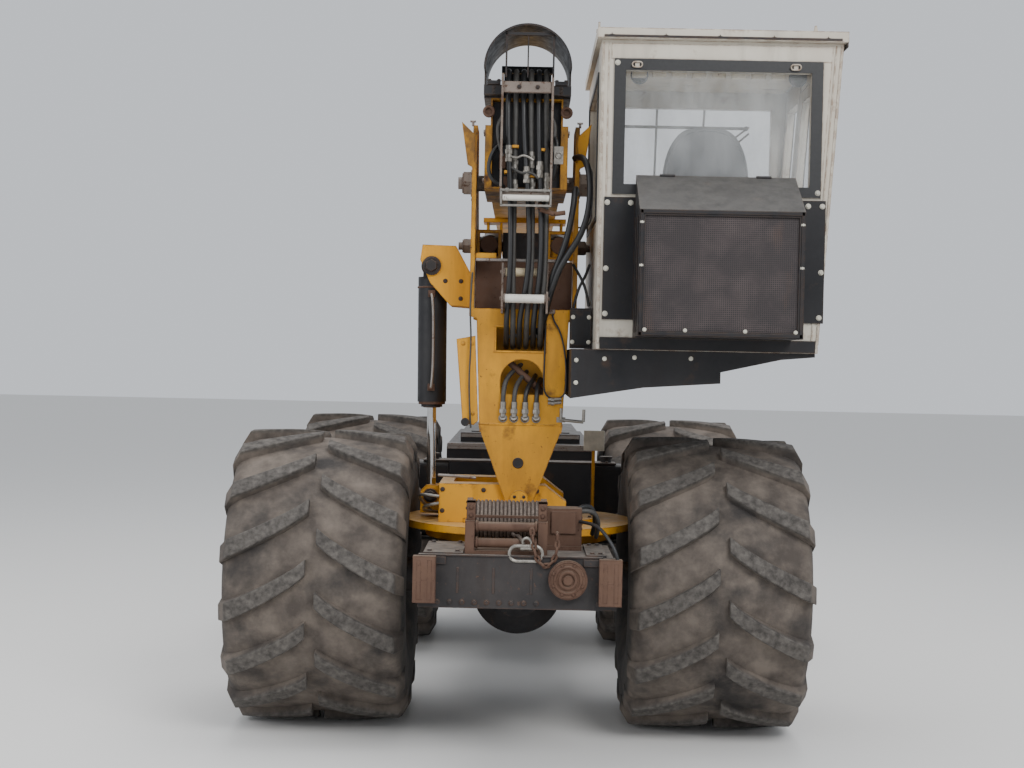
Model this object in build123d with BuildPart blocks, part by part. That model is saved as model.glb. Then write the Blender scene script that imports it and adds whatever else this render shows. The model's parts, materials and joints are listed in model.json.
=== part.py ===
"""Articulated tree trimming machine on four wide tyres, with an offset cab and a telescopic saw boom.

The origin is on the ground, on the chassis centre line, half way along the machine.
+X is to the right, +Y to the front and +Z up. Lengths are in millimetres.
"""

import os
from math import atan2, cos, radians, sin, tan

from build123d import *

os.makedirs("parts", exist_ok=True)

# Running gear
rear_axle_y = -3800
wheelbase = 2700
half_track = 1108
tyre_radius = 838
tyre_width = 1000
tread_half_width = 470
lug_height = 50
lug_width = 88
lugs_per_side = 15
rim_radius = 318
rim_half_width = 420
rim_wall = 14
spindle_radius = 70
axle_tube_radius = 100
running_fit = 0.05
seat_gap = 0.3

# Chassis
centre_pin_y = rear_axle_y + 1350
centre_pin_radius = 45
rear_end_y = rear_axle_y - 1300
frame_half_width = 450
frame_bottom = 860
frame_top = 1085
frame_wall = 20
deck_half_width = 500
deck_top = 1119
front_end_y = rear_axle_y + 4120
hood_rear_y = rear_axle_y + 1560
hood_front_y = rear_axle_y + 3950
hood_half_width = 500
hood_top = 1520
hood_wall = 6
steer_pin_x = 330
steer_rear_y = rear_axle_y + 650
steer_front_y = centre_pin_y + 250
steer_z = 940

# Turntable and tilting mast
slew_plate_radius = 670
slew_plate_bottom = 1145
slew_plate_top = 1185
tilt_pin_z = 1325
tilt_pin_radius = 40
mast_depth = 770
mast_plate = 25
mast_neck_z = 1744
mast_neck_half = 232
mast_shoulder_z = 2389
mast_shoulder_half = 258
fork_inside = 275
fork_plate = 25
tilt_cylinder_y = rear_axle_y
tilt_lower_pin_x = -514
tilt_lower_pin_z = 1310
tilt_upper_pin_x = -530
tilt_upper_pin_z = 2636
tilt_barrel_radius = 84
tilt_rod_radius = 27
tilt_eye_width = 80

# Cab
cab_rear_y = rear_axle_y - 800
cab_length = 1550
cab_left_x = 390
cab_right_foot_x = 1570
cab_right_head_x = 1673
cab_floor_z = 2170
cab_head_z = 3815
cab_wall = 45
cab_roof_thickness = 55
window_glass = 6

# Boom
boom_pin_y = rear_axle_y - 150
boom_pin_z = 3110
boom_pin_radius = 45
fork_above_pin = 310
boom_rear_y = rear_axle_y - 450
boom_front_y = rear_axle_y + 6600
boom_half_width = 200
boom_bottom = 3050
boom_height = 500
boom_wall = 10
mid_boom_gap = 40
mid_boom_wall = 8
mid_boom_stub = 250
tip_boom_gap = 35
tip_boom_wall = 12
tip_boom_stub = 1050
lift_pin_y = rear_axle_y + 50
lift_pin_z = 2765
lift_pin_radius = 30
lift_cylinder_x = 201
lift_barrel_radius = 65
lift_rod_radius = 35
lift_eye_y = rear_axle_y + 1450
lift_eye_z = 2920
blade_radius = 305
blade_thickness = 6

# Places worked out from the sizes above
front_axle_y = rear_axle_y + wheelbase
cab_front_y = cab_rear_y + cab_length
boom_top = boom_bottom + boom_height
boom_middle_z = boom_bottom + boom_height / 2
mast_rear_y = rear_axle_y - mast_depth / 2
mast_front_y = rear_axle_y + mast_depth / 2
fork_outside = fork_inside + fork_plate
fork_top = boom_pin_z + fork_above_pin


def slab(x, y, z, mode=Mode.ADD):
    """A block between the low and high values of each pair."""
    with Locations(((x[0] + x[1]) / 2, (y[0] + y[1]) / 2, (z[0] + z[1]) / 2)):
        Box(x[1] - x[0], y[1] - y[0], z[1] - z[0], mode=mode)


def plate(plane, outline, thickness, mode=Mode.ADD):
    """A plate with a straight-sided outline, built up along the normal of its plane."""
    with BuildSketch(plane) as face:
        with BuildLine():
            Polyline(*outline, close=True)
        make_face()
    extrude(face.sketch, amount=thickness, mode=mode)


def bar(start, end, radius, mode=Mode.ADD):
    """A round bar between the centres of its two ends."""
    axis = Vector(*end) - Vector(*start)
    with BuildSketch(Plane(origin=start, z_dir=axis)) as face:
        Circle(radius)
    extrude(face.sketch, amount=axis.length, mode=mode)


def across(y):
    """The plane square to the machine's length at y: it shows x and z, and builds to the rear."""
    return Plane.XZ.offset(-y)


def along(x):
    """The plane beside the machine at x: it shows y and z, and builds to the right."""
    return Plane.YZ.offset(x)


def save(piece, name):
    piece.part.label = name
    export_step(piece.part, f"parts/{name}.step")


# Tyre: a carcass of flat facets, and two rows of slanted lugs that meet near its middle
carcass_radius = tyre_radius - lug_height
carcass_facets = 30
bead_radius = rim_radius + 28
# Carcass from one side to the other: x, radius at the corners
carcass_sections = [
    (-tyre_width / 2, 560),
    (8 - tread_half_width, carcass_radius - 26),
    (-240, carcass_radius),
    (240, carcass_radius),
    (tread_half_width - 8, carcass_radius - 26),
    (tyre_width / 2, 560),
]
lug_reach = 139
lug_inner_x = 28
lug_root_radius = carcass_radius - 40
lug_flank_angle = 6
lug_sag = 5.03
lug_middle_x = (lug_inner_x + tread_half_width) / 2
# Halves of a lug: x and distance round the tyre at the start and at the end
lug_halves = [
    (lug_inner_x, lug_reach, lug_middle_x, 0),
    (lug_middle_x, 0, tread_half_width, -lug_reach),
]
lug_forms = {}
for side in (-1, 1):
    with BuildPart() as lug:
        for start_x, start, end_x, end in lug_halves:
            middle = (start + end) / 2
            turn = radians(90) - middle / tyre_radius
            outward = Vector(0, cos(turn), sin(turn))
            half = lug_width / 2 + 8
            outline = [
                (side * start_x, start - middle - half),
                (side * start_x, start - middle + half),
                (side * end_x, end - middle + half),
                (side * end_x, end - middle - half),
            ]
            with BuildSketch(Plane(origin=outward * lug_root_radius, x_dir=(1, 0, 0), z_dir=outward)) as foot:
                with BuildLine():
                    Polyline(*outline, close=True)
                make_face()
            extrude(foot.sketch, amount=tyre_radius - lug_sag - lug_root_radius, taper=lug_flank_angle)
    lug_forms[side] = lug.part

with BuildPart() as tyre_form:
    for (start_x, start_radius), (end_x, end_radius) in zip(carcass_sections, carcass_sections[1:]):
        with BuildSketch(Plane.YZ.offset(start_x)) as near_end:
            RegularPolygon(start_radius, carcass_facets)
        with BuildSketch(Plane.YZ.offset(end_x)) as far_end:
            RegularPolygon(end_radius, carcass_facets)
        loft([near_end.sketch.face(), far_end.sketch.face()], ruled=True)
    for side in (-1, 1):
        with BuildSketch(Plane.YZ.offset(side * rim_half_width)) as bead:
            RegularPolygon(bead_radius, carcass_facets)
        with BuildSketch(Plane.YZ.offset(side * tyre_width / 2)) as bulge:
            RegularPolygon(carcass_sections[0][1], carcass_facets)
        loft([bead.sketch.face(), bulge.sketch.face()], ruled=True, mode=Mode.SUBTRACT)
        turns = [(count + side / 4) * 360 / lugs_per_side for count in range(lugs_per_side)]
        with Locations(*[Location((0, 0, 0), (turn, 0, 0)) for turn in turns]):
            add(lug_forms[side])
    bar((-tyre_width, 0, 0), (tyre_width, 0, 0), rim_radius, mode=Mode.SUBTRACT)

# Each wheel: name, side, y of its axle
wheels = [
    ("rear_left", -1, rear_axle_y),
    ("rear_right", 1, rear_axle_y),
    ("front_left", -1, front_axle_y),
    ("front_right", 1, front_axle_y),
]
disc_x = 40
hub_inner_x = -80
hub_bore_end = 150
flange = 16
for name, side, y in wheels:
    centre = Vector(side * half_track, y, tyre_radius)
    with BuildPart() as tyre:
        with Locations(centre):
            add(tyre_form.part)
    save(tyre, f"tyre_{name}")

    # Rim with its flanges, dished disc and hub, turned as one shape around the spindle
    with BuildPart() as rim:
        with BuildSketch(Plane(origin=centre, x_dir=(side, 0, 0), z_dir=(0, 0, side))) as section:
            with BuildLine():
                Polyline(
                    (-rim_half_width - flange, rim_radius + flange),
                    (-rim_half_width, rim_radius),
                    (rim_half_width, rim_radius),
                    (rim_half_width + flange, rim_radius + flange),
                    (rim_half_width + flange, rim_radius - rim_wall),
                    (disc_x + 22, rim_radius - rim_wall),
                    (disc_x + 22, 170),
                    (disc_x + 190, 120),
                    (disc_x + 190, 0),
                    (hub_bore_end, 0),
                    (hub_bore_end, spindle_radius + running_fit),
                    (hub_inner_x, spindle_radius + running_fit),
                    (hub_inner_x, 140),
                    (disc_x, 190),
                    (disc_x, rim_radius - rim_wall),
                    (-rim_half_width - flange, rim_radius - rim_wall),
                    close=True,
                )
            make_face()
        revolve(section.sketch, axis=Axis(centre, (1, 0, 0)))
    save(rim, f"rim_{name}")

# Axles: a round final-drive housing, tapered arms, end flanges and the spindles that carry the hubs
diff_radius = 260
diff_z = 780
motor_length = 260
for name, y in (("rear", rear_axle_y), ("front", front_axle_y)):
    inward = 1 if name == "rear" else -1
    with BuildPart() as axle:
        with BuildSketch(Plane(origin=(0, y, tyre_radius), x_dir=(1, 0, 0), z_dir=(0, 0, 1))) as arms:
            with BuildLine():
                flange_x = half_track + hub_inner_x - 6
                Polyline(
                    (-half_track - hub_bore_end + 2, 0),
                    (-half_track - hub_bore_end + 2, spindle_radius),
                    (-flange_x, spindle_radius),
                    (-flange_x, 140),
                    (70 - flange_x, axle_tube_radius),
                    (flange_x - 70, axle_tube_radius),
                    (flange_x, 140),
                    (flange_x, spindle_radius),
                    (half_track + hub_bore_end - 2, spindle_radius),
                    (half_track + hub_bore_end - 2, 0),
                    close=True,
                )
            make_face()
        revolve(arms.sketch, axis=Axis((0, y, tyre_radius), (1, 0, 0)))
        with BuildSketch(Plane.XY.offset(diff_z)) as housing:
            with BuildLine():
                Polyline(
                    (0, y - inward * 190),
                    (150, y - inward * 175),
                    (diff_radius, y - inward * 90),
                    (diff_radius, y + inward * 120),
                    (120, y + inward * 210),
                    (120, y + inward * (210 + motor_length)),
                    (0, y + inward * (210 + motor_length)),
                    close=True,
                )
            make_face()
        revolve(housing.sketch, axis=Axis((0, y, diff_z), (0, 1, 0)))
    save(axle, f"{name}_axle")

steer_eye_half = 35
steer_plate = 16


def steer_lugs(rear_y, front_y, inner_x, outer_x):
    """The plates above and below each steering cylinder's eye."""
    for side in (-1, 1):
        for low in (steer_z - steer_eye_half - seat_gap - steer_plate, steer_z + steer_eye_half + seat_gap):
            slab(sorted((side * inner_x, side * outer_x)), (rear_y, front_y), (low, low + steer_plate))


# Rear frame: an open-bottomed box beam with the bumper plate, the deck, and the ears and pin of the centre joint
ear_half_width = 150
ear_thickness = 40
rear_ear_z = (870, 1045)
frame_joint_y = centre_pin_y - 330
joint_plate_half_width = 225
with BuildPart() as rear_frame:
    slab((-frame_half_width, frame_half_width), (rear_end_y, frame_joint_y), (frame_bottom, frame_top))
    inside = frame_half_width - frame_wall
    slab(
        (-inside, inside),
        (rear_end_y + frame_wall, frame_joint_y - frame_wall),
        (frame_bottom - 1, frame_top - frame_wall),
        mode=Mode.SUBTRACT,
    )
    for side in (-1, 1):
        slab(
            sorted((side * joint_plate_half_width, side * inside)),
            (frame_joint_y - frame_wall - 1, frame_joint_y + 1),
            (frame_bottom - 1, frame_top - frame_wall),
            mode=Mode.SUBTRACT,
        )
    slab((-deck_half_width, deck_half_width), (rear_end_y, rear_end_y + 30), (855, deck_top))
    slab((-deck_half_width + 20, deck_half_width - 20), (rear_end_y, rear_end_y + 560), (frame_top, deck_top))
    for low in (rear_ear_z[0], rear_ear_z[1] - ear_thickness):
        slab((-ear_half_width, ear_half_width), (frame_joint_y, centre_pin_y), (low, low + ear_thickness))
        bar((0, centre_pin_y, low), (0, centre_pin_y, low + ear_thickness), ear_half_width)
    bar(
        (-frame_half_width - 1, rear_axle_y, tyre_radius),
        (frame_half_width + 1, rear_axle_y, tyre_radius),
        axle_tube_radius,
        mode=Mode.SUBTRACT,
    )
    bar((0, centre_pin_y, rear_ear_z[0] - 25), (0, centre_pin_y, rear_ear_z[1]), centre_pin_radius)
    bar((0, centre_pin_y, rear_ear_z[1]), (0, centre_pin_y, rear_ear_z[1] + 20), 70)
    steer_lugs(steer_rear_y - 60, steer_rear_y + 45, steer_pin_x - 45, inside)
save(rear_frame, "rear_frame")

# Front frame: box beam, the tongue that turns on the centre pin, and the nose plate
tongue_z = (rear_ear_z[0] + ear_thickness + 5, rear_ear_z[1] - ear_thickness - 5)
front_frame_rear_y = steer_front_y + 100
with BuildPart() as front_frame:
    slab((-frame_half_width, frame_half_width), (front_frame_rear_y, front_end_y), (frame_bottom, frame_top))
    slab(
        (-inside, inside),
        (front_frame_rear_y + frame_wall, front_end_y - frame_wall),
        (frame_bottom - 1, frame_top - frame_wall),
        mode=Mode.SUBTRACT,
    )
    slab((-ear_half_width, ear_half_width), (centre_pin_y, front_frame_rear_y), tongue_z)
    bar((0, centre_pin_y, tongue_z[0]), (0, centre_pin_y, tongue_z[1]), ear_half_width)
    bar((0, centre_pin_y, 0), (0, centre_pin_y, 2000), centre_pin_radius + running_fit, mode=Mode.SUBTRACT)
    bar(
        (-frame_half_width - 1, front_axle_y, tyre_radius),
        (frame_half_width + 1, front_axle_y, tyre_radius),
        axle_tube_radius,
        mode=Mode.SUBTRACT,
    )
    steer_lugs(steer_front_y - 45, front_frame_rear_y, steer_pin_x - 50, steer_pin_x + 50)
save(front_frame, "front_frame")

# Low tanks on both sides of the rear frame, ahead of the tyres
with BuildPart() as side_tanks:
    for side in (-1, 1):
        with BuildSketch(along(side * 560 - 100)) as tank_end:
            with Locations((rear_axle_y + 1035, 1200)):
                RectangleRounded(210, 480, 30)
        extrude(tank_end.sketch, amount=200)
        shelf = sorted((side * frame_half_width, side * 640))
        slab(shelf, (frame_joint_y - 130, frame_joint_y), (940, 960.5))
save(side_tanks, "side_tanks")

# Rear end: blocks outboard of the bumper plate, the hitch boss, and the winch with its rope rollers
with BuildPart() as rail_ends:
    for side in (-1, 1):
        slab((side * 465 - 57, side * 465 + 57), (rear_end_y - 60, rear_end_y), (885, 1118))
    bar((253, rear_end_y - 40, 1010), (253, rear_end_y, 1010), 98)
save(rail_ends, "rail_ends")

winch_y = rear_axle_y - 920
winch_z = 1265
winch_left = -240
winch_right = 116
fairlead_y = rear_end_y + 70
rope_wound_radius = 92
with BuildPart() as winch:
    slab((winch_left - 40, 330), (winch_y - 90, winch_y + 90), (deck_top, deck_top + 22))
    for low in (winch_left - 30, winch_right):
        slab((low, low + 30), (winch_y - 70, winch_y + 70), (deck_top + 22, winch_z))
        bar((low, winch_y, winch_z), (low + 30, winch_y, winch_z), 112)
    bar((winch_left, winch_y, winch_z), (winch_right, winch_y, winch_z), rope_wound_radius)
    slab((winch_right + 30, 330), (winch_y - 75, winch_y + 75), (deck_top + 22, 1335))
    slab((-268, 148), (fairlead_y - 35, winch_y - 60), (deck_top, deck_top + 22))
    for low in (-268, 100):
        slab((low, low + 48), (fairlead_y - 35, fairlead_y + 35), (deck_top, 1290))
    for roller_z in (1178, 1260):
        bar((-220, fairlead_y, roller_z), (100, fairlead_y, roller_z), 24)
save(winch, "winch")

# Slew ring on the frame, with the round cover plate that is fixed over it
spigot_radius = 200
with BuildPart() as slew_plate:
    bar((0, rear_axle_y, frame_top), (0, rear_axle_y, slew_plate_bottom), 540)
    bar((0, rear_axle_y, frame_top), (0, rear_axle_y, slew_plate_bottom), 420, mode=Mode.SUBTRACT)
    bar((0, rear_axle_y, slew_plate_bottom), (0, rear_axle_y, slew_plate_top), slew_plate_radius)
    bar(
        (0, rear_axle_y, slew_plate_bottom - 1), (0, rear_axle_y, slew_plate_top + 1),
        spigot_radius + running_fit, mode=Mode.SUBTRACT,
    )
save(slew_plate, "slew_plate")

# Tilt base: a flange that turns on the plate, two cross beams and a side beam, and the pin with its tube and
# end caps. It stays within the space between the rear tyres.
base_bottom = slew_plate_top + seat_gap
base_half = mast_depth / 2 - mast_plate - 10
beam_depth = 150
beam_top = tilt_pin_z + 78
side_beam_x = (-450, -375)
cheek_left_x = tilt_lower_pin_x - 58
cheek_plate = 30
cheek_top = tilt_lower_pin_z + 60
pin_half = mast_depth / 2 + 6
pin_cap = 18
eye_half = tilt_eye_width / 2 + seat_gap
flange_thickness = 22
with BuildPart() as tilt_base:
    bar((0, rear_axle_y, slew_plate_bottom), (0, rear_axle_y, base_bottom), spigot_radius)
    bar((0, rear_axle_y, base_bottom), (0, rear_axle_y, base_bottom + flange_thickness), 470)
    beam = [
        (side_beam_x[0], base_bottom), (265, base_bottom), (265, tilt_pin_z - 12), (145, beam_top),
        (side_beam_x[0], beam_top),
    ]
    for rear_y in (rear_axle_y - base_half, rear_axle_y + base_half - beam_depth):
        plate(across(rear_y + beam_depth), beam, beam_depth)
    slab(side_beam_x, (rear_axle_y - base_half, rear_axle_y + base_half), (base_bottom, beam_top))
    slab((-90, 90), (rear_axle_y - base_half, rear_axle_y + base_half), (base_bottom, tilt_pin_z))
    bar((0, rear_axle_y - base_half, tilt_pin_z), (0, rear_axle_y + base_half, tilt_pin_z), 90)
    bar((0, rear_axle_y - pin_half, tilt_pin_z), (0, rear_axle_y + pin_half, tilt_pin_z), tilt_pin_radius)
    for start, end in ((-pin_half - pin_cap, -pin_half), (pin_half, pin_half + pin_cap)):
        bar((0, rear_axle_y + start, tilt_pin_z), (0, rear_axle_y + end, tilt_pin_z), 52)
save(tilt_base, "tilt_base")

# Two cheeks on the side beam and the flange, with the head of the pin that holds the tilt cylinder between them
cheek_bottom = base_bottom + flange_thickness
cheek_corner = 34
with BuildPart() as tilt_cheeks:
    cheek = [
        (cheek_left_x, cheek_bottom), (side_beam_x[0], cheek_bottom), (side_beam_x[0], cheek_top),
        (cheek_left_x + cheek_corner, cheek_top), (cheek_left_x, cheek_top - cheek_corner),
    ]
    for cheek_y in (tilt_cylinder_y - eye_half - cheek_plate, tilt_cylinder_y + eye_half):
        plate(across(cheek_y + cheek_plate), cheek, cheek_plate)
    boss_end = tilt_cylinder_y - eye_half - cheek_plate
    bar(
        (tilt_lower_pin_x, boss_end - 12, tilt_lower_pin_z), (tilt_lower_pin_x, boss_end, tilt_lower_pin_z), 40
    )
save(tilt_cheeks, "tilt_cheeks")

# Mast: a rear and a front plate that narrow to the tilt pin, webs between them, and the open fork above
web_inside = 200
manifold_rear_y = mast_rear_y + 170
mast_outline = [
    (-62, tilt_pin_z - 55),
    (62, tilt_pin_z - 55),
    (222, 1697),
    (mast_neck_half, mast_neck_z),
    (mast_shoulder_half, 2330),
    (fork_outside, 2345),
    (fork_outside, mast_shoulder_z),
    (-fork_outside, mast_shoulder_z),
    (-fork_outside, 2345),
    (-mast_shoulder_half, 2330),
    (-mast_neck_half, mast_neck_z),
    (-222, 1697),
]
fork_outline = [
    (mast_rear_y, mast_shoulder_z),
    (mast_front_y, mast_shoulder_z),
    (mast_front_y, 2800),
    (boom_pin_y + 230, boom_pin_z + 70),
    (boom_pin_y + 150, fork_top),
    (boom_pin_y - 150, fork_top),
    (mast_rear_y, boom_pin_z + 90),
]
with BuildPart() as mast:
    for y in (mast_rear_y + mast_plate, mast_front_y):
        plate(across(y), mast_outline, mast_plate)
    for low in (-web_inside - 25, web_inside):
        slab(
            (low, low + 25),
            (mast_rear_y + mast_plate, mast_front_y - mast_plate),
            (mast_neck_z, mast_shoulder_z),
        )
    slab(
        (-web_inside - 25, web_inside + 25),
        (mast_rear_y + mast_plate, mast_front_y - mast_plate),
        (mast_neck_z - 25, mast_neck_z),
    )
    for low in (-fork_outside, fork_inside):
        plate(along(low), fork_outline, fork_plate)
    for low in (-fork_outside, web_inside):
        slab(
            (low, low + fork_outside - web_inside),
            (mast_rear_y + mast_plate, mast_front_y - mast_plate),
            (mast_shoulder_z - 25, mast_shoulder_z),
        )
    slab((-fork_inside, fork_inside), (mast_front_y - 240, mast_front_y - 20), (2600, 2625))
    slab((-web_inside, web_inside), (manifold_rear_y, manifold_rear_y + 70), (1880, 2300))
    for side in (-1, 1):
        ear = [
            (side * (fork_inside + 12), boom_pin_z + 60),
            (side * (fork_inside + 12), boom_pin_z + 245),
            (side * (fork_outside + 62), boom_pin_z + 316),
            (side * (fork_outside + 26), boom_pin_z + 80),
        ]
        plate(across(mast_rear_y + 30), ear, 30)
        box_in = side * (fork_inside + 1)
        box_out = side * 131
        box_y = (lift_pin_y - 165, lift_pin_y - 145)
        slab(sorted((box_in, box_out)), box_y, (lift_pin_z - 85, lift_pin_z + 85))
        slab(
            sorted((side * 255, side * 151)), (box_y[0] - 1, box_y[1] + 1), (lift_pin_z - 65, lift_pin_z + 65),
            mode=Mode.SUBTRACT,
        )
    slab((-150, 132), (mast_rear_y - 5, mast_rear_y + 60), (2150, 2290), mode=Mode.SUBTRACT)
    with BuildSketch(across(mast_rear_y + 60)) as arch:
        with Locations((2, 1950)):
            Rectangle(240, 76)
        with Locations((2, 1988)):
            Circle(120)
        with Locations((2, 1862)):
            Rectangle(400, 100, mode=Mode.SUBTRACT)
    extrude(arch.sketch, amount=80, mode=Mode.SUBTRACT)
    bar(
        (0, rear_axle_y - 2000, tilt_pin_z), (0, rear_axle_y + 2000, tilt_pin_z),
        tilt_pin_radius + running_fit, mode=Mode.SUBTRACT,
    )
    for y, z, radius in ((boom_pin_y, boom_pin_z, boom_pin_radius), (lift_pin_y, lift_pin_z, lift_pin_radius)):
        bar((-500, y, z), (500, y, z), radius, mode=Mode.SUBTRACT)
save(mast, "mast")

# Pins of the boom and of the lift cylinders with their end nuts: y, z, pin radius, nut radius
fork_pins_table = [
    (boom_pin_y, boom_pin_z, boom_pin_radius, 70),
    (lift_pin_y, lift_pin_z, lift_pin_radius, 46),
]
with BuildPart() as fork_pins:
    for y, z, radius, nut in fork_pins_table:
        bar((-fork_outside - 60, y, z), (fork_outside + 60, y, z), radius)
        for start in (-fork_outside - 55, fork_outside):
            with BuildSketch(along(start)) as nut_face:
                with Locations((y, z)):
                    RegularPolygon(nut, 6)
            extrude(nut_face.sketch, amount=55)
save(fork_pins, "fork_pins")

# Tilt arm: two plates on the mast's left side that hold the tilt cylinder's upper eye
arm_outline = [
    (-585, 2757), (-392, 2753), (-fork_outside, 2587), (-fork_outside, 2400), (-419, 2408), (-537, 2538), (-597, 2670),
]
arm_plate = 30
arm_gap = 90
with BuildPart() as tilt_arm:
    for front_y in (tilt_cylinder_y - arm_gap, tilt_cylinder_y + arm_gap + arm_plate):
        plate(across(front_y), arm_outline, arm_plate)
    slab(
        (-400, -fork_outside), (tilt_cylinder_y - arm_gap, tilt_cylinder_y + arm_gap), (2430, 2580)
    )
    bar(
        (tilt_upper_pin_x, tilt_cylinder_y - arm_gap - arm_plate - 8, tilt_upper_pin_z),
        (tilt_upper_pin_x, tilt_cylinder_y + arm_gap + arm_plate + 8, tilt_upper_pin_z),
        36,
    )
save(tilt_arm, "tilt_arm")

# Tilt cylinder: the barrel hangs from the arm, and the rod stands in the tilt base
tilt_line = Vector(tilt_lower_pin_x - tilt_upper_pin_x, 0, tilt_lower_pin_z - tilt_upper_pin_z)
tilt_way = tilt_line.normalized()
tilt_top = Vector(tilt_upper_pin_x, tilt_cylinder_y, tilt_upper_pin_z)
tilt_foot = Vector(tilt_lower_pin_x, tilt_cylinder_y, tilt_lower_pin_z)
tilt_barrel_end = 785
tilt_gland_end = 815
with BuildPart() as tilt_barrel:
    bar(tilt_top + tilt_way * 60, tilt_top + tilt_way * tilt_barrel_end, tilt_barrel_radius)
    bar(tilt_top + tilt_way * tilt_barrel_end, tilt_top + tilt_way * tilt_gland_end, 62)
    bar(
        tilt_top - Vector(0, arm_gap - 5, 0), tilt_top + Vector(0, arm_gap - 5, 0), 62
    )
    slab(
        (tilt_upper_pin_x - 50, tilt_upper_pin_x + 50),
        (tilt_cylinder_y - arm_gap + 5, tilt_cylinder_y + arm_gap - 5),
        (tilt_upper_pin_z - 70, tilt_upper_pin_z),
    )
    bar(
        tilt_top - Vector(0, 100, 0), tilt_top + Vector(0, 100, 0), 36 + running_fit, mode=Mode.SUBTRACT
    )
    bar(
        tilt_top + tilt_way * 120, tilt_top + tilt_way * (tilt_gland_end + 1),
        tilt_rod_radius + running_fit, mode=Mode.SUBTRACT,
    )
save(tilt_barrel, "tilt_barrel")

with BuildPart() as tilt_rod:
    bar(tilt_top + tilt_way * 560, tilt_foot - tilt_way * 40, tilt_rod_radius)
    half = tilt_eye_width / 2
    bar(tilt_foot - Vector(0, half, 0), tilt_foot + Vector(0, half, 0), 48)
save(tilt_rod, "tilt_rod")

# Cab support: a root between the mast plates and the stepped tray under the cab
cab_tray_left = 262
tray_outline = [
    (cab_tray_left, 1905), (650, 1970), (1060, 2000), (1060, 2060), (1380, 2133),
    (cab_right_foot_x - 10, 2150), (cab_right_foot_x - 10, cab_floor_z), (cab_tray_left, cab_floor_z),
]
with BuildPart() as cab_tray:
    plate(across(cab_front_y - 60), tray_outline, cab_length - 80)
    slab(
        (web_inside + 25, cab_tray_left + 10),
        (mast_rear_y + mast_plate, mast_front_y - mast_plate),
        (1930, 2150),
    )
save(cab_tray, "cab_tray")

# Cab: floor, four walls with their windows, the roof, and the right wall that leans outward
wall_foot_z = cab_floor_z + cab_wall
lean = atan2(cab_right_head_x - cab_right_foot_x, cab_head_z - cab_floor_z)
lean_out = Vector(cos(lean), 0, -sin(lean))
lean_up = Vector(sin(lean), 0, cos(lean))
cab_right_origin = Vector(cab_right_foot_x, cab_rear_y, cab_floor_z)
right_side = Plane(origin=cab_right_origin, x_dir=(0, 1, 0), z_dir=lean_out)


def right_x(z):
    """The outer face of the leaning right wall at height z."""
    return cab_right_foot_x + (z - cab_floor_z) * (cab_right_head_x - cab_right_foot_x) / (cab_head_z - cab_floor_z)


end_wall = [
    (cab_left_x, wall_foot_z), (right_x(wall_foot_z), wall_foot_z),
    (right_x(cab_head_z), cab_head_z), (cab_left_x, cab_head_z),
]
rear_window = ((cab_left_x + 130, cab_right_foot_x - 65), (cab_floor_z + 879, cab_head_z - 161))
front_window = ((cab_left_x + 80, cab_right_foot_x - 40), (cab_floor_z + 590, cab_head_z - 115))
left_window = ((cab_rear_y + 250, cab_front_y - 200), (cab_floor_z + 730, cab_head_z - 165))
wall_top_v = (cab_head_z - cab_floor_z - cab_wall * sin(lean)) / cos(lean)
door_u = (130, 1010)
door_v = (cab_wall + 17, wall_top_v - 85)
door_gap = 5
side_window_u = (1080, 1440)
side_window_v = (760, wall_top_v - 140)
door_window_u = (door_u[0] + 100, door_u[1] - 90)
door_window_v = (700, door_v[1] - 80)
hinge_out = 13
hinge_u = door_u[0] + door_gap / 2
hinge_foot = cab_right_origin + Vector(0, hinge_u, 0) + lean_out * hinge_out
hinge_heights = (door_v[0] + 198, door_v[1] - 260)
knuckle_radius = 12
hinge_pin_radius = 6

with BuildPart() as cab_floor:
    slab((cab_left_x, cab_right_foot_x), (cab_rear_y, cab_front_y), (cab_floor_z, wall_foot_z))
save(cab_floor, "cab_floor")

with BuildPart() as cab_rear_wall:
    plate(across(cab_rear_y + cab_wall), end_wall, cab_wall)
    slab(rear_window[0], (cab_rear_y - 1, cab_rear_y + cab_wall + 1), rear_window[1], mode=Mode.SUBTRACT)
save(cab_rear_wall, "cab_rear_wall")

with BuildPart() as cab_front_wall:
    plate(across(cab_front_y), end_wall, cab_wall)
    slab(front_window[0], (cab_front_y - cab_wall - 1, cab_front_y + 1), front_window[1], mode=Mode.SUBTRACT)
save(cab_front_wall, "cab_front_wall")

with BuildPart() as cab_left_wall:
    slab(
        (cab_left_x, cab_left_x + cab_wall), (cab_rear_y + cab_wall, cab_front_y - cab_wall),
        (wall_foot_z, cab_head_z),
    )
    slab((cab_left_x - 1, cab_left_x + cab_wall + 1), left_window[0], left_window[1], mode=Mode.SUBTRACT)
save(cab_left_wall, "cab_left_wall")


def right_panel(u, v, depth, mode=Mode.ADD):
    """A piece of the leaning wall between two distances from the rear and two up the slope."""
    with BuildSketch(right_side) as face:
        with Locations(((u[0] + u[1]) / 2, (v[0] + v[1]) / 2)):
            Rectangle(u[1] - u[0], v[1] - v[0])
    extrude(face.sketch, amount=-depth, mode=mode)


with BuildPart() as cab_right_wall:
    right_panel((cab_wall, cab_length - cab_wall), (cab_wall / cos(lean), wall_top_v), cab_wall)
    right_panel(door_u, door_v, 2 * cab_wall, mode=Mode.SUBTRACT)
    right_panel(side_window_u, side_window_v, 2 * cab_wall, mode=Mode.SUBTRACT)
    for height in hinge_heights:
        low = hinge_foot + lean_up * (height - 32)
        bar(low, low + lean_up * 30, knuckle_radius)
        bar(low, low + lean_up * 80, hinge_pin_radius)
        with BuildSketch(right_side) as leaf:
            with Locations((hinge_u - 25, height - 17)):
                Rectangle(45, 30)
        extrude(leaf.sketch, amount=8)
save(cab_right_wall, "cab_right_wall")

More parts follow.
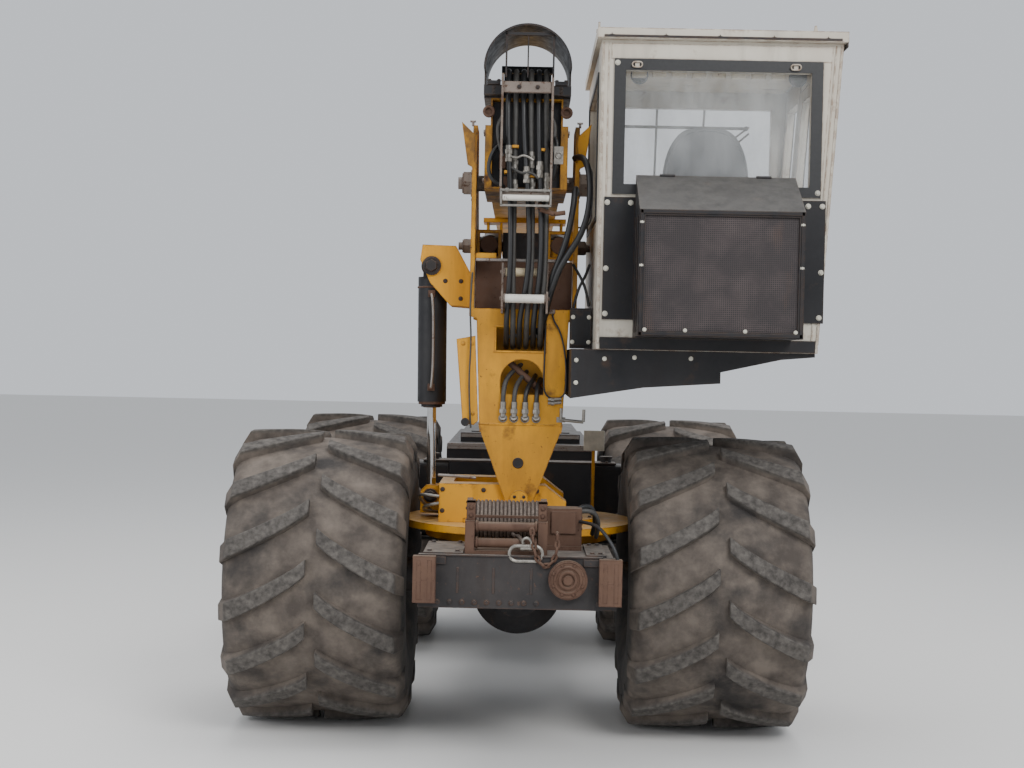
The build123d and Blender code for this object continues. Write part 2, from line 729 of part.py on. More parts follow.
with BuildPart() as cab_roof:
    slab(
        (cab_left_x - 25, cab_right_head_x + 17), (cab_rear_y - 40, cab_front_y + 40),
        (cab_head_z, cab_head_z + cab_roof_thickness),
    )
save(cab_roof, "cab_roof")

# Fixed panes, each as big as its opening
pane_in = 20
with BuildPart() as cab_glass:
    slab(rear_window[0], (cab_rear_y + pane_in, cab_rear_y + pane_in + window_glass), rear_window[1])
    slab(front_window[0], (cab_front_y - pane_in - window_glass, cab_front_y - pane_in), front_window[1])
    slab((cab_left_x + pane_in, cab_left_x + pane_in + window_glass), left_window[0], left_window[1])
    right_panel(side_window_u, side_window_v, pane_in + window_glass)
    right_panel(side_window_u, side_window_v, pane_in, mode=Mode.SUBTRACT)
save(cab_glass, "cab_glass")

with BuildPart() as rear_window_frame:
    slab(
        (rear_window[0][0] - 61, rear_window[0][1] + 59), (cab_rear_y - 12, cab_rear_y),
        (rear_window[1][0] - 53, rear_window[1][1] + 59),
    )
    slab(rear_window[0], (cab_rear_y - 20, cab_rear_y + 1), rear_window[1], mode=Mode.SUBTRACT)
save(rear_window_frame, "rear_window_frame")

# Door in the leaning wall, with its pane, hung on two hinges along its rear edge
with BuildPart() as cab_door:
    right_panel(
        (door_u[0] + door_gap, door_u[1] - door_gap), (door_v[0] + door_gap, door_v[1] - door_gap), cab_wall
    )
    right_panel(door_window_u, door_window_v, 2 * cab_wall, mode=Mode.SUBTRACT)
    for height in hinge_heights:
        low = hinge_foot + lean_up * height
        bar(low, low + lean_up * 50, knuckle_radius)
        with BuildSketch(right_side) as leaf:
            with Locations((hinge_u + 35, height + 25)):
                Rectangle(50, 50)
        extrude(leaf.sketch, amount=8)
        bar(low - lean_up, low + lean_up * 51, hinge_pin_radius + running_fit, mode=Mode.SUBTRACT)
save(cab_door, "cab_door")

with BuildPart() as door_glass:
    right_panel(door_window_u, door_window_v, pane_in + window_glass)
    right_panel(door_window_u, door_window_v, pane_in, mode=Mode.SUBTRACT)
save(door_glass, "door_glass")

# Cooler box behind the cab with its mesh, and the dark cover plates around it
cooler_x = (584, 1429)
cooler_rear_y = cab_rear_y - 350
cooler_bottom = cab_floor_z + 68
cooler_top = cab_floor_z + 716
cooler_outline = [
    (cooler_rear_y, cooler_bottom), (cab_rear_y, cooler_bottom), (cab_rear_y, rear_window[1][0] - 59),
    (cab_rear_y - 14, rear_window[1][0] - 59), (cab_rear_y - 14, cooler_top + 211), (cooler_rear_y, cooler_top),
]
mesh_edge = 30
with BuildPart() as cooler_box:
    plate(along(cooler_x[0]), cooler_outline, cooler_x[1] - cooler_x[0])
    slab(
        (cooler_x[0] + mesh_edge, cooler_x[1] - mesh_edge), (cooler_rear_y - 1, cooler_rear_y + 60),
        (cooler_bottom + mesh_edge, cooler_top - mesh_edge), mode=Mode.SUBTRACT,
    )
save(cooler_box, "cooler_box")

with BuildPart() as cooler_mesh:
    slab(
        (cooler_x[0] + mesh_edge, cooler_x[1] - mesh_edge), (cooler_rear_y + 12, cooler_rear_y + 18),
        (cooler_bottom + mesh_edge, cooler_top - mesh_edge),
    )
save(cooler_mesh, "cooler_mesh")

with BuildPart() as cab_rear_plates:
    plate_z = (cab_floor_z + 160, cab_floor_z + 810)
    slab((cab_left_x + 29, cooler_x[0]), (cab_rear_y - 10, cab_rear_y), plate_z)
    slab((cooler_x[1], cab_right_foot_x + 23), (cab_rear_y - 10, cab_rear_y), plate_z)
    slab((cab_left_x + 20, cab_right_foot_x - 15), (cab_rear_y - 10, cab_rear_y), (cab_floor_z + 2, cooler_bottom - 2))
save(cab_rear_plates, "cab_rear_plates")

# Seat and the two lever consoles
seat_x = 994
seat_y = cab_rear_y + 480
with BuildPart() as seat:
    slab((seat_x - 180, seat_x + 180), (seat_y - 150, seat_y + 250), (wall_foot_z, 2560))
    slab((seat_x - 250, seat_x + 250), (seat_y - 170, seat_y + 330), (2560, 2680))
    with BuildSketch(across(seat_y - 50)) as back:
        with Locations((seat_x, 3043)):
            RectangleRounded(480, 726, 120)
    extrude(back.sketch, amount=120)
save(seat, "seat")

with BuildPart() as levers:
    for side in (-1, 1):
        middle = seat_x + side * 330
        slab((middle - 55, middle + 55), (seat_y - 50, seat_y + 400), (wall_foot_z, 2800))
        bar((middle, seat_y + 330, 2800), (middle, seat_y + 330, 2920), 9)
        bar((middle, seat_y + 330, 2920), (middle, seat_y + 330, 3000), 24)
save(levers, "levers")

# Boom: three hollow sections, one inside the other, with wear pads between them
mid_front_y = boom_front_y + mid_boom_stub
mid_rear_y = rear_axle_y + 100
tip_front_y = mid_front_y + tip_boom_stub
tip_rear_y = rear_axle_y + 300
mid_half = boom_half_width - boom_wall - mid_boom_gap
mid_half_height = boom_height / 2 - boom_wall - mid_boom_gap
tip_half = mid_half - mid_boom_wall - tip_boom_gap
tip_half_height = mid_half_height - mid_boom_wall - tip_boom_gap
pad_length = 180
rotator_length = 130


def tube(half, half_height, wall, y):
    """A hollow boom section about the boom's centre line."""
    slab((-half, half), y, (boom_middle_z - half_height, boom_middle_z + half_height))
    inner = half - wall
    inner_height = half_height - wall
    slab(
        (-inner, inner), (y[0] - 1, y[1] + 1), (boom_middle_z - inner_height, boom_middle_z + inner_height),
        mode=Mode.SUBTRACT,
    )


def wear_pads(half, half_height, thickness, y, outward):
    """Four pads on a section's outer faces, or on the inner faces of the section around it."""
    side = half - 60
    for sign in (-1, 1):
        face = sign * half
        edge = sign * (half + outward * thickness)
        slab(sorted((face, edge)), y, (boom_middle_z - half_height + 60, boom_middle_z + half_height - 60))
        face = boom_middle_z + sign * half_height
        edge = boom_middle_z + sign * (half_height + outward * thickness)
        slab((-side, side), y, sorted((face, edge)))


doubler = 30
lift_bracket_z = boom_bottom - 30
lift_eye_half = 35
lug_plate = 18
with BuildPart() as outer_boom:
    tube(boom_half_width, boom_height / 2, boom_wall, (boom_rear_y, boom_front_y))
    for low in (-boom_half_width - doubler, boom_half_width):
        slab((low, low + doubler), (boom_rear_y, boom_pin_y + 450), (boom_bottom, 3400))
    slab((-190, 190), (boom_rear_y + 60, boom_rear_y + 72), (boom_bottom + 10, boom_top - 10))
    slab((-275, 275), (lift_eye_y - 110, lift_eye_y + 110), (lift_bracket_z, boom_bottom))
    for side in (-1, 1):
        for offset in (-lift_eye_half - seat_gap - lug_plate, lift_eye_half + seat_gap):
            low = side * lift_cylinder_x + offset
            lug = [
                (lift_eye_y - 90, lift_bracket_z), (lift_eye_y + 90, lift_bracket_z),
                (lift_eye_y + 45, lift_eye_z - 45), (lift_eye_y - 45, lift_eye_z - 45),
            ]
            plate(along(low), lug, lug_plate)
    bar((-400, boom_pin_y, boom_pin_z), (400, boom_pin_y, boom_pin_z), boom_pin_radius + running_fit,
        mode=Mode.SUBTRACT)
    wear_pads(
        boom_half_width - boom_wall, boom_height / 2 - boom_wall, mid_boom_gap - seat_gap,
        (boom_front_y - pad_length, boom_front_y), -1,
    )
save(outer_boom, "outer_boom")

with BuildPart() as mid_boom:
    tube(mid_half, mid_half_height, mid_boom_wall, (mid_rear_y, mid_front_y))
    wear_pads(mid_half, mid_half_height, mid_boom_gap - seat_gap, (mid_rear_y, mid_rear_y + pad_length), 1)
    wear_pads(
        mid_half - mid_boom_wall, mid_half_height - mid_boom_wall, tip_boom_gap - seat_gap,
        (mid_front_y - pad_length, mid_front_y), -1,
    )
save(mid_boom, "mid_boom")

with BuildPart() as tip_boom:
    tube(tip_half, tip_half_height, tip_boom_wall, (tip_rear_y, tip_front_y))
    wear_pads(tip_half, tip_half_height, tip_boom_gap - seat_gap, (tip_rear_y, tip_rear_y + pad_length), 1)
    slab(
        (-tip_half, tip_half), (tip_front_y, tip_front_y + 16),
        (boom_middle_z - tip_half_height, boom_middle_z + tip_half_height),
    )
    bar((0, tip_front_y, boom_middle_z), (0, tip_front_y + rotator_length, boom_middle_z), 105)
save(tip_boom, "tip_boom")

# Guard over the hoses at the boom's rear end: a half-round cover on two feet, with the hose guide behind it
guard_radius = 240
guard_z = 3690
guard_wall = 10
guard_y = (boom_rear_y - 170, boom_pin_y + 90)
bulkhead_y = rear_axle_y - 120
hose_top_z = boom_top + 195
with BuildPart() as hose_guard:
    with BuildSketch(across(guard_y[1])) as arch:
        with Locations((0, guard_z)):
            Circle(guard_radius)
            Circle(guard_radius - guard_wall, mode=Mode.SUBTRACT)
        with Locations((0, guard_z - guard_radius)):
            Rectangle(2 * guard_radius, 2 * guard_radius, mode=Mode.SUBTRACT)
    extrude(arch.sketch, amount=guard_y[1] - guard_y[0])
    for low in (-guard_radius, guard_radius - guard_wall):
        slab((low, low + guard_wall), (boom_rear_y, guard_y[1]), (boom_top, guard_z))
    slab((-guard_radius, guard_radius), (boom_rear_y, guard_y[1]), (boom_top, boom_top + 12))
    slab((-135, 135), (bulkhead_y, bulkhead_y + 50), (boom_top + 12, hose_top_z))
save(hose_guard, "hose_guard")

guide_y = (boom_rear_y - 150, boom_rear_y - 110)
with BuildPart() as hose_guide:
    for middle in (-136, 138):
        slab((middle - 6, middle + 6), guide_y, (boom_bottom - 75, boom_top + 110))
        slab((middle - 6, middle + 6), (guide_y[1], boom_rear_y + 60), (boom_bottom + 240, boom_bottom + 280))
    slab((-142, 144), (guide_y[0] + 10, guide_y[1]), (boom_top + 10, boom_top + 70))
    bar((-130, guide_y[0] + 15, boom_bottom - 40), (132, guide_y[0] + 15, boom_bottom - 40), 22)
save(hose_guide, "hose_guide")

# Cream rollers that the hoses pass on their way to the mast: y and z
roller_axes = [(mast_rear_y - 70, 2590), (mast_rear_y - 170, 2440)]
with BuildPart() as mast_rollers:
    for middle in (-116, 130):
        slab((middle - 6, middle + 6), (mast_rear_y - 90, mast_rear_y - 50), (2360, 2640))
        slab((middle - 6, middle + 6), (mast_rear_y - 190, mast_rear_y), (2360, mast_shoulder_z))
        slab((middle - 6, middle + 6), (mast_rear_y - 190, mast_rear_y - 150), (2360, 2480))
    slab((136, 180), (mast_rear_y - 20, mast_rear_y), (2365, mast_shoulder_z))
    for y, z in roller_axes:
        bar((-110, y, z), (124, y, z), 24)
save(mast_rollers, "mast_rollers")



def hose_run(points, radius):
    """A hose of straight runs joined by tangent arcs; it prints its length and its tightest bend."""
    route = [Vector(*point) for point in points]
    bends = []
    for before, corner, after in zip(route, route[1:], route[2:]):
        half_turn = radians((corner - before).get_angle(after - corner)) / 2
        bends.append(0.45 * min((corner - before).length, (after - corner).length) / tan(half_turn))
    with BuildLine() as line:
        FilletPolyline(*route, radius=bends)
    path = line.wires()[0]
    with BuildSketch(Plane(origin=route[0], z_dir=route[1] - route[0])) as section:
        RegularPolygon(radius, hose_sides)
    sweep(section.sketch, path=path)
    print(f"hose of {round(path.length)} mm, tightest bend {round(min(bends))} mm")


# Hoses from the bulkhead over the boom's rear end, between the guide and the boom, past the rollers and through
# the mast's upper window to the manifold. The side view is y, z; x moves evenly from the upper to the lower place.
hose_radius = 15
hose_sides = 8
hose_side_view = [
    (0, bulkhead_y, hose_top_z - 40), (0, bulkhead_y - 85, hose_top_z - 40), (0, bulkhead_y - 220, hose_top_z - 15),
    (0, rear_axle_y - 452.6, 3670), (0, boom_rear_y - 57.5, 3552), (0.1, boom_rear_y - 62, 3310),
    (0.5, boom_rear_y - 55, 2940), (1, mast_rear_y - 128, 2600), (1, mast_rear_y - 105, 2345),
    (1, mast_rear_y - 35, 2235), (1, mast_rear_y + 60, 2178), (1, manifold_rear_y, 2178),
]
hose_places = [(-105, -90), (-63, -54), (-21, -18), (21, 21), (63, 60), (105, 99)]
with BuildPart() as boom_hoses:
    for upper_x, lower_x in hose_places:
        hose_run([(upper_x + share * (lower_x - upper_x), y, z) for share, y, z in hose_side_view], hose_radius)
save(boom_hoses, "boom_hoses")

# Smaller hoses on the mast: a loop beside the fork, and one that hangs on the mast's rear plate. x, z
small_hose_radius = 5
fork_loop = [
    (fork_outside, 3212), (330, 3212), (356, 3197), (371, 3171), (374, 3115), (375, 3040), (373, 2955),
    (371, 2895), (356, 2869), (330, 2854), (fork_outside, 2854),
]
plate_loop = [
    (130, 2359.7), (128, 2250), (126, 2095), (124, 1990), (128, 1934), (144, 1906), (172, 1890), (204, 1890),
    (232, 1906), (248, 1934), (250, 1990), (246, 2100), (228, 2210), (202, 2285), (172, 2325), (165, 2363.5),
]
with BuildPart() as mast_hoses:
    for y, outline in ((mast_rear_y + 60, fork_loop), (mast_rear_y - small_hose_radius - 6, plate_loop)):
        hose_run([(x, y, z) for x, z in outline], small_hose_radius)
save(mast_hoses, "mast_hoses")

# Lift cylinders on both sides: barrels on the mast's lower pin, rods up to the boom's lugs
lift_foot = Vector(0, lift_pin_y, lift_pin_z)
lift_eye = Vector(0, lift_eye_y, lift_eye_z)
lift_way = (lift_eye - lift_foot).normalized()
lift_barrel_end = 1230
with BuildPart() as lift_barrels:
    for side in (-1, 1):
        shift = Vector(side * lift_cylinder_x, 0, 0)
        bar(lift_foot + shift + lift_way * 40, lift_foot + shift + lift_way * lift_barrel_end, lift_barrel_radius)
        bar(lift_foot + shift - Vector(68, 0, 0), lift_foot + shift + Vector(68, 0, 0), 58)
        bar(
            lift_foot + shift + lift_way * 150, lift_foot + shift + lift_way * (lift_barrel_end + 1),
            lift_rod_radius + running_fit, mode=Mode.SUBTRACT,
        )
    bar(lift_foot - Vector(400, 0, 0), lift_foot + Vector(400, 0, 0), lift_pin_radius + running_fit,
        mode=Mode.SUBTRACT)
save(lift_barrels, "lift_barrels")

with BuildPart() as lift_rods:
    for side in (-1, 1):
        shift = Vector(side * lift_cylinder_x, 0, 0)
        bar(lift_foot + shift + lift_way * 640, lift_eye + shift, lift_rod_radius)
        eye_offset = Vector(lift_eye_half, 0, 0)
        bar(lift_eye + shift - eye_offset, lift_eye + shift + eye_offset, 50)
save(lift_rods, "lift_rods")

# Steering cylinders across the centre pin
steer_barrel_radius = 42
steer_rod_radius = 22
steer_barrel_end = 670
for side, name in ((-1, "left"), (1, "right")):
    rear_eye = Vector(side * steer_pin_x, steer_rear_y, steer_z)
    front_eye = Vector(side * steer_pin_x, steer_front_y, steer_z)
    up = Vector(0, 0, steer_eye_half)
    forward = Vector(0, 1, 0)
    with BuildPart() as steer_barrel:
        bar(rear_eye + forward * 60, rear_eye + forward * steer_barrel_end, steer_barrel_radius)
        bar(rear_eye - up, rear_eye + up, 40)
        bar(rear_eye, rear_eye + forward * 70, 30)
        bar(
            rear_eye + forward * 100, rear_eye + forward * (steer_barrel_end + 1), steer_rod_radius + running_fit,
            mode=Mode.SUBTRACT,
        )
    save(steer_barrel, f"steer_barrel_{name}")
    with BuildPart() as steer_rod:
        bar(rear_eye + forward * 330, front_eye, steer_rod_radius)
        bar(front_eye - up, front_eye + up, 38)
    save(steer_rod, f"steer_rod_{name}")

# Engine unit on the front frame: hood, engine, grille, lamps and bumper
with BuildPart() as hood:
    slab((-hood_half_width, hood_half_width), (hood_rear_y, hood_front_y), (frame_top, hood_top))
    slab(
        (-hood_half_width + hood_wall, hood_half_width - hood_wall), (hood_rear_y + hood_wall, hood_front_y - hood_wall),
        (frame_top + 12, hood_top - hood_wall), mode=Mode.SUBTRACT,
    )
    slab((-420, 420), (hood_rear_y + 340, hood_front_y - 100), (hood_top, hood_top + 65))
    slab((-380, 380), (hood_front_y - 20, hood_front_y + 1), (1160, 1450), mode=Mode.SUBTRACT)
save(hood, "hood")

with BuildPart() as engine:
    slab((-320, 320), (hood_rear_y + 500, hood_rear_y + 1700), (frame_top + 12, 1470))
save(engine, "engine")

with BuildPart() as front_grille:
    slab((-380, 380), (hood_front_y - 6, hood_front_y), (1160, 1450))
    with Locations((0, hood_front_y, 1305)):
        with GridLocations(60, 1, 12, 1):
            Box(30, 40, 250, mode=Mode.SUBTRACT)
save(front_grille, "front_grille")

with BuildPart() as headlamps:
    for side in (-1, 1):
        bar((side * 400, front_end_y, 1000), (side * 400, front_end_y + 45, 1000), 60)
save(headlamps, "headlamps")

with BuildPart() as front_bumper:
    slab((-560, 560), (front_end_y, front_end_y + 60), (780, 920))
    for side in (-1, 1):
        for low in (side * 300 - 40, side * 300 + 20):
            lug = [
                (front_end_y + 60, 800), (front_end_y + 150, 800), (front_end_y + 150, 900), (front_end_y + 60, 900),
            ]
            plate(along(low), lug, 20)
    bar((-400, front_end_y + 105, 850), (400, front_end_y + 105, 850), 20, mode=Mode.SUBTRACT)
save(front_bumper, "front_bumper")

# Saw head on the boom tip's rotator: the arm with its gearbox, motor and guard, and the blade
head_rear_y = tip_front_y + rotator_length + seat_gap
blade_y = tip_front_y + 740
blade_x = -40
with BuildPart() as saw_head:
    bar((0, head_rear_y, boom_middle_z), (0, head_rear_y + 50, boom_middle_z), 95)
    slab((0, 70), (head_rear_y + 50, blade_y), (boom_middle_z - 60, boom_middle_z + 60))
    bar((0, blade_y, boom_middle_z), (90, blade_y, boom_middle_z), 85)
    bar((90, blade_y, boom_middle_z), (250, blade_y, boom_middle_z), 60)
    bar((-1, blade_y, boom_middle_z), (60, blade_y, boom_middle_z), 20 + running_fit, mode=Mode.SUBTRACT)
    with BuildSketch(along(-14)) as cover:
        with Locations((blade_y, boom_middle_z)):
            Circle(blade_radius + 20)
            with Locations((0, -blade_radius - 20)):
                Rectangle(4 * blade_radius, 2 * blade_radius + 40, mode=Mode.SUBTRACT)
            Circle(95, mode=Mode.SUBTRACT)
    extrude(cover.sketch, amount=6)
    slab((-8, 0), (head_rear_y + 250, head_rear_y + 400), (boom_middle_z, boom_middle_z + 60))
save(saw_head, "saw_head")

with BuildPart() as saw_blade:
    bar((blade_x, blade_y, boom_middle_z), (blade_x + blade_thickness, blade_y, boom_middle_z), blade_radius)
    bar((blade_x - 20, blade_y, boom_middle_z), (59, blade_y, boom_middle_z), 20)
    bar((blade_x + blade_thickness, blade_y, boom_middle_z), (-6, blade_y, boom_middle_z), 45)
save(saw_blade, "saw_blade")
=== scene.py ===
"""Looks of the tree trimming machine: finishes, lights, camera and the small fittings on its solids."""

import itertools
import json
import math

import bmesh
import bpy
from mathutils import Matrix, Vector


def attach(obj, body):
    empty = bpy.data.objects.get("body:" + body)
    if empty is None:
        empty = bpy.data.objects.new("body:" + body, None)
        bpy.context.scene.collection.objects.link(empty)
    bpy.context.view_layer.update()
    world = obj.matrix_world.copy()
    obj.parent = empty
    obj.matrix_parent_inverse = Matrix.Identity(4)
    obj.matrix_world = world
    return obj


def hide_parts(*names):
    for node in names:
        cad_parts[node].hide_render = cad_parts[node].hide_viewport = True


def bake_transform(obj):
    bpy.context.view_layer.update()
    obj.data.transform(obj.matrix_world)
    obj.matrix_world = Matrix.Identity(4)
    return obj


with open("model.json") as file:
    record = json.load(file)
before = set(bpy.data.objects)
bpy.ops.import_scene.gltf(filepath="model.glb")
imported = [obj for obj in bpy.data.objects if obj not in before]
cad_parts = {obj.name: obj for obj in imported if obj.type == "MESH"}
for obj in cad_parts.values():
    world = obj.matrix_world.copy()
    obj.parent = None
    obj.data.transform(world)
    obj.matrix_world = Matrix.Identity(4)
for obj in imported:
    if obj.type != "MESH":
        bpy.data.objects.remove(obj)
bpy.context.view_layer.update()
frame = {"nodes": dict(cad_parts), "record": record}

# Camera of the photograph: behind the machine, a little left of its axis, slightly rolled
rear_axle_y = -3.8
camera_back = 9.1
camera_height = 2.103
lens_mm = 54.84
pitch_down = math.radians(0.88)
yaw_left = math.radians(0.345)
roll = math.radians(1.2)

# Main sizes of the solids, in metres. The rear faces of mast, boom and cab are measured from the rear axle
tyre_radius = 0.838
half_track = 1.108
wheelbase = 2.7
mast_rear = -0.385
boom_rear = -0.45
cab_rear = -0.8
mast_rear_y = rear_axle_y + mast_rear
boom_rear_y = rear_axle_y + boom_rear


def new_material(name):
    """A material with its shader, and the object coordinates that its patterns read."""
    material = bpy.data.materials.new(name)
    material.use_nodes = True
    tree = material.node_tree
    shader = tree.nodes["Principled BSDF"]
    place = tree.nodes.new("ShaderNodeTexCoord")
    return material, tree, shader, place.outputs["Object"]


def noise(tree, place, scale, detail=6.0, roughness=0.6, stretch=(1, 1, 1)):
    """Noise on the object's own coordinates; stretch squeezes it along an axis."""
    mapping = tree.nodes.new("ShaderNodeMapping")
    mapping.inputs["Scale"].default_value = stretch
    tree.links.new(place, mapping.inputs["Vector"])
    texture = tree.nodes.new("ShaderNodeTexNoise")
    texture.inputs["Scale"].default_value = scale
    texture.inputs["Detail"].default_value = detail
    texture.inputs["Roughness"].default_value = roughness
    tree.links.new(mapping.outputs["Vector"], texture.inputs["Vector"])
    return texture.outputs["Fac"]


def remap(tree, value, low, high, out_low=0.0, out_high=1.0):
    """A value spread from low..high to out_low..out_high, clamped."""
    spread = tree.nodes.new("ShaderNodeMapRange")
    spread.inputs["From Min"].default_value = low
    spread.inputs["From Max"].default_value = high
    spread.inputs["To Min"].default_value = out_low
    spread.inputs["To Max"].default_value = out_high
    tree.links.new(value, spread.inputs["Value"])
    return spread.outputs["Result"]


def multiply(tree, first, second):
    """Two masks multiplied."""
    product = tree.nodes.new("ShaderNodeMath")
    product.operation = "MULTIPLY"
    tree.links.new(first, product.inputs[0])
    tree.links.new(second, product.inputs[1])
    return product.outputs["Value"]


def layer(tree, under, over, mask):
    """A colour laid over another where the mask is light; either may be plain or a socket."""
    mix = tree.nodes.new("ShaderNodeMix")
    mix.data_type = "RGBA"
    for socket, colour in ((mix.inputs["A"], under), (mix.inputs["B"], over)):
        if isinstance(colour, tuple):
            socket.default_value = (*colour, 1)
        else:
            tree.links.new(colour, socket)
    tree.links.new(mask, mix.inputs["Factor"])
    return mix.outputs["Result"]


def facing_up(tree):
    """Light where the surface faces the sky, where dust settles."""
    geometry = tree.nodes.new("ShaderNodeNewGeometry")
    split = tree.nodes.new("ShaderNodeSeparateXYZ")
    tree.links.new(geometry.outputs["Normal"], split.inputs["Vector"])
    return remap(tree, split.outputs["Z"], 0.5, 0.95)


def bump(tree, shader, height, strength, distance=0.002):
    """Fine relief from a value."""
    relief = tree.nodes.new("ShaderNodeBump")
    relief.inputs["Strength"].default_value = strength
    relief.inputs["Distance"].default_value = distance
    tree.links.new(height, relief.inputs["Height"])
    tree.links.new(relief.outputs["Normal"], shader.inputs["Normal"])


def patches(tree, place, scale, low, high, out_low=0.0, out_high=1.0, **settings):
    """Noise spread into soft-edged patches."""
    return remap(tree, noise(tree, place, scale, **settings), low, high, out_low, out_high)


def worn_edges(tree, place):
    """Mask along the outer edges, broken up by noise, where the paint has gone."""
    rounded = tree.nodes.new("ShaderNodeBevel")
    rounded.samples = 4
    rounded.inputs["Radius"].default_value = 0.012
    flat = tree.nodes.new("ShaderNodeNewGeometry")
    dot = tree.nodes.new("ShaderNodeVectorMath")
    dot.operation = "DOT_PRODUCT"
    tree.links.new(rounded.outputs["Normal"], dot.inputs[0])
    tree.links.new(flat.outputs["Normal"], dot.inputs[1])
    turned = remap(tree, dot.outputs["Value"], 0.985, 0.86)
    return multiply(tree, turned, patches(tree, place, 18, 0.38, 0.56, detail=8))


def soiling(tree, place, grime):
    """Mask of dark blotches round the mast's pins, from the fork up and on the boom's rear end."""
    split = tree.nodes.new("ShaderNodeSeparateXYZ")
    tree.links.new(place, split.inputs["Vector"])
    high_up = remap(tree, split.outputs["Z"], 2.3, 2.9, 0.3, 1)
    near_pins = remap(tree, split.outputs["Y"], rear_axle_y + 0.1, rear_axle_y + 1.3, 1, 0.1)
    blotches = patches(tree, place, 4.5, 0.42, 0.6, 0, grime, detail=9, roughness=0.65, stretch=(1, 1, 0.45))
    return multiply(tree, near_pins, multiply(tree, high_up, blotches))


def worn_paint(
    name, fresh, faded, rust, dust, wear=0.6, roughness=(0.35, 0.6), metallic=0.0, dust_amount=0.5, grime=0.0,
):
    """Old paint: faded in clouds, streaked downwards, chipped to rust, grimy, with dust on top faces."""
    material, tree, shader, place = new_material(name)
    colour = layer(tree, fresh, faded, patches(tree, place, 2.2, 0.35, 0.7))
    dark = tuple(0.45 * a + 0.2 * b for a, b in zip(fresh, rust))
    colour = layer(tree, colour, dark, patches(tree, place, 9, 0.52, 0.75, 0, 0.55, stretch=(1, 1, 0.12)))
    chips = patches(tree, place, 38, wear, wear + 0.04, detail=9, roughness=0.7)
    spots = patches(tree, place, 5, 0.6, 0.72, detail=8)
    for bare in (chips, spots, worn_edges(tree, place)):
        colour = layer(tree, colour, rust, bare)
    if grime:
        colour = layer(tree, colour, (0.05, 0.029, 0.016), soiling(tree, place, grime))
    dusty = multiply(tree, facing_up(tree), patches(tree, place, 14, 0.3, 0.6, 0.3, dust_amount))
    colour = layer(tree, colour, dust, dusty)
    tree.links.new(colour, shader.inputs["Base Color"])
    tree.links.new(patches(tree, place, 25, 0.3, 0.7, *roughness), shader.inputs["Roughness"])
    shader.inputs["Metallic"].default_value = metallic
    shader.inputs["Specular IOR Level"].default_value = 0.28
    bump(tree, shader, noise(tree, place, 60, detail=8), 0.25)
    return material


yellow = worn_paint(
    "worn_yellow_paint",
    (0.66, 0.31, 0.014), (0.54, 0.25, 0.022), (0.075, 0.03, 0.014), (0.4, 0.33, 0.2), 0.66,
)
grimy_yellow = worn_paint(
    "grimy_yellow_paint",
    (0.64, 0.3, 0.014), (0.5, 0.225, 0.02), (0.07, 0.028, 0.014), (0.34, 0.27, 0.16), 0.62,
    grime=0.8,
)
black = worn_paint(
    "dull_black_paint",
    (0.012, 0.012, 0.014), (0.025, 0.024, 0.025), (0.05, 0.03, 0.02), (0.2, 0.19, 0.175), 0.68,
)
cab_white = worn_paint(
    "aged_cab_paint", (0.56, 0.52, 0.44), (0.47, 0.42, 0.35), (0.16, 0.08, 0.04), (0.5, 0.47, 0.42), 0.7,
)
rusty = worn_paint(
    "rusty_steel", (0.085, 0.045, 0.03), (0.13, 0.075, 0.05), (0.05, 0.022, 0.014), (0.2, 0.16, 0.12), 0.62,
    roughness=(0.6, 0.85),
)
frame_grey = worn_paint(
    "dirty_frame_paint",
    (0.02, 0.019, 0.02), (0.045, 0.039, 0.037), (0.075, 0.043, 0.03), (0.2, 0.175, 0.15), 0.62,
    roughness=(0.5, 0.8), dust_amount=0.8,
)
steel = worn_paint(
    "bare_steel", (0.32, 0.3, 0.28), (0.22, 0.19, 0.17), (0.12, 0.06, 0.035), (0.3, 0.27, 0.23), 0.6,
    roughness=(0.3, 0.55), metallic=0.8,
)
fibreglass = worn_paint(
    "fibreglass_boom", (0.55, 0.29, 0.03), (0.5, 0.27, 0.04), (0.2, 0.1, 0.03), (0.4, 0.34, 0.24), 0.75,
    roughness=(0.25, 0.4),
)
cream = worn_paint(
    "cream_roller", (0.62, 0.52, 0.34), (0.5, 0.4, 0.26), (0.16, 0.09, 0.05), (0.5, 0.42, 0.3), 0.62,
)


def plain(name, colour, roughness, metallic=0.0, variation=0.12, scale=20, relief=0.15):
    """A finish with a light mottling and fine relief."""
    material, tree, shader, place = new_material(name)
    darker = tuple(c * (1 - 2 * variation) for c in colour)
    mottled = layer(tree, darker, colour, remap(tree, noise(tree, place, scale), 0.3, 0.65))
    tree.links.new(mottled, shader.inputs["Base Color"])
    shader.inputs["Roughness"].default_value = roughness
    shader.inputs["Metallic"].default_value = metallic
    bump(tree, shader, noise(tree, place, scale * 4), relief, 0.001)
    return material


chrome = plain("polished_rod", (0.75, 0.74, 0.72), 0.12, 1.0, 0.06, 12, 0.02)
rubber = plain("hose_rubber", (0.014, 0.014, 0.015), 0.45, 0.0, 0.2, 60, 0.2)
old_hose = plain("old_grey_hose", (0.05, 0.047, 0.043), 0.6, 0.0, 0.2, 40, 0.25)
fitting = plain("zinc_fitting", (0.3, 0.28, 0.25), 0.42, 0.75, 0.2, 50, 0.2)
rope_wire = plain("wire_rope", (0.19, 0.15, 0.125), 0.6, 0.55, 0.3, 90, 0.8)
seat_cloth = plain("grey_seat_cloth", (0.125, 0.128, 0.132), 0.9, 0.0, 0.15, 160, 0.5)
old_bracket = worn_paint(
    "grey_brown_bracket",
    (0.16, 0.13, 0.11), (0.22, 0.18, 0.15), (0.07, 0.035, 0.02), (0.25, 0.21, 0.17), 0.58,
    roughness=(0.5, 0.75),
)
